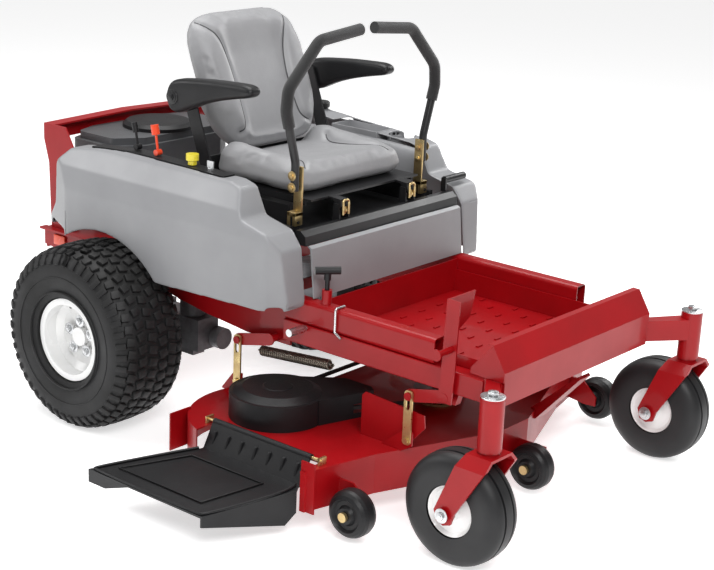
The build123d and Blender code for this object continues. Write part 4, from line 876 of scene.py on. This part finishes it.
def make_seat_loop(side, x):
    """Plated loop that straps the seat's hinge pin to its bracket."""
    line = [(x - 11, -607, 652), (x - 11, -607, 676), (x - 11, -606, 690),
            (x + 11, -606, 690), (x + 11, -607, 676), (x + 11, -607, 652)]
    loop = bent_wire("seat_loop_" + side, [place(*point) for point in line], 0.0032)
    foot = hex_bolt("seat_loop_bolt", place(x, -602, 662), "-Y", 0.006, 0.004)
    hand_over(merge("seat_loop_" + side, [loop, foot]), "seat", "zinc_gold")


for side, sign in (("left", 1), ("right", -1)):
    make_lever_bracket(side, sign)
    make_seat_loop(side, sign * 138)


# ---- deck and running gear details --------------------------------------------------------------
LUG_RING = 0.044
RIM_FACE = 0.042


def make_spring():
    """Close-wound extension spring with a short straight tail on its axis at each end."""
    start, end = place(-268, -446, 269), place(-268, -684, 291)
    along = (end - start).normalized()
    out = along.cross(Vector((1, 0, 0))).normalized()
    turns, per_turn, radius = 34, 10, 0.0122
    line = [start - along * 0.012, start - along * 0.004]
    for number in range(turns * per_turn + 1):
        angle = math.tau * number / per_turn
        centre = start + (end - start) * number / (turns * per_turn)
        line.append(centre + (Vector((1, 0, 0)) * math.cos(angle) + out * math.sin(angle)) * radius)
    line += [end + along * 0.004, end + along * 0.012]
    spring = bent_wire("lift_spring_coils", line, 0.0027, detail=2)
    hand_over(spring, "chassis", "spring_steel", stands_for=("lift_spring",))


def make_chute_ribs():
    """Raised bead round the deflector and the stiffening ribs at its hinge."""
    edge = [(-596, -864, 119), (-618, -879, 116), (-838, -800, 98), (-842, -780, 97), (-842, -430, 97),
            (-832, -418, 98), (-600, -544, 118)]
    bead = bent_wire("chute_bead", [place(*point) for point in edge], 0.0036)
    parts = [bead]
    for number in range(7):
        y = -846 + 46 * number
        rib = start_block("rib", place(-583, y - 4, 122), place(-566, y + 4, 160))
        pick_faces(rib, lambda centre, normal: normal.z > 0.9)
        bpy.ops.transform.translate(value=(0.012, 0, 0))
        bpy.ops.object.mode_set(mode="OBJECT")
        parts.append(soften(rib, 0.002, 2))
    inner = [(-640, -800, 114), (-800, -752, 101), (-800, -470, 101), (-640, -560, 114)]
    parts.append(bent_wire("chute_panel_line", [place(*point) for point in inner], 0.0022, closed=True,
                           smooth=False))
    hand_over(merge("chute_ribs", parts), "chute", "black_plastic")


def make_wheel_hardware(side, sign):
    centre = middle("drive_tyre_" + side)
    face = centre.x + sign * RIM_FACE
    outward = "X" if sign > 0 else "-X"
    nuts = []
    for number in range(5):
        turn = math.radians(72 * number + 18)
        spot = Vector((face + sign * 0.011, centre.y + LUG_RING * math.cos(turn),
                       centre.z + LUG_RING * math.sin(turn)))
        nuts.append(hex_bolt("lug", spot, outward, 0.0098, 0.007))
    hand_over(merge("lug_nuts_" + side, nuts), "drive_wheel_" + side, "zinc")
    foot = Vector((face + sign * 0.022, centre.y + 0.006, centre.z + 0.088))
    stem = start_drum("valve_stem_" + side, foot, 0.0042, 0.034, "X", 18)
    hand_over(soften(stem, 0.001, 2), "drive_wheel_" + side, "black_plastic")


def make_caster_hardware(side, sign):
    top = place(sign * 452, -1313, 428.4)
    cap = soften(start_drum("cap", top + Vector((0, 0, 0.0008)), 0.0288, 0.0036, "Z", 40), 0.0009, 2)
    nut = hex_bolt("cap_nut", top + Vector((0, 0, 0.002)), "Z", 0.0135, 0.009)
    hand_over(merge("spindle_cap_" + side, [cap, nut]), "caster_fork_" + side, "zinc")
    ends = []
    for face in (-1, 1):
        spot = place(sign * 452 + face * 74.0, -1245, 139.7)
        ends.append(hex_bolt("axle_end", spot, "X" if face > 0 else "-X", 0.0105, 0.006))
    hand_over(merge("caster_axle_ends_" + side, ends), "caster_fork_" + side, "zinc")


make_spring()
make_chute_ribs()
for side, sign in (("left", 1), ("right", -1)):
    make_wheel_hardware(side, sign)
    make_caster_hardware(side, sign)
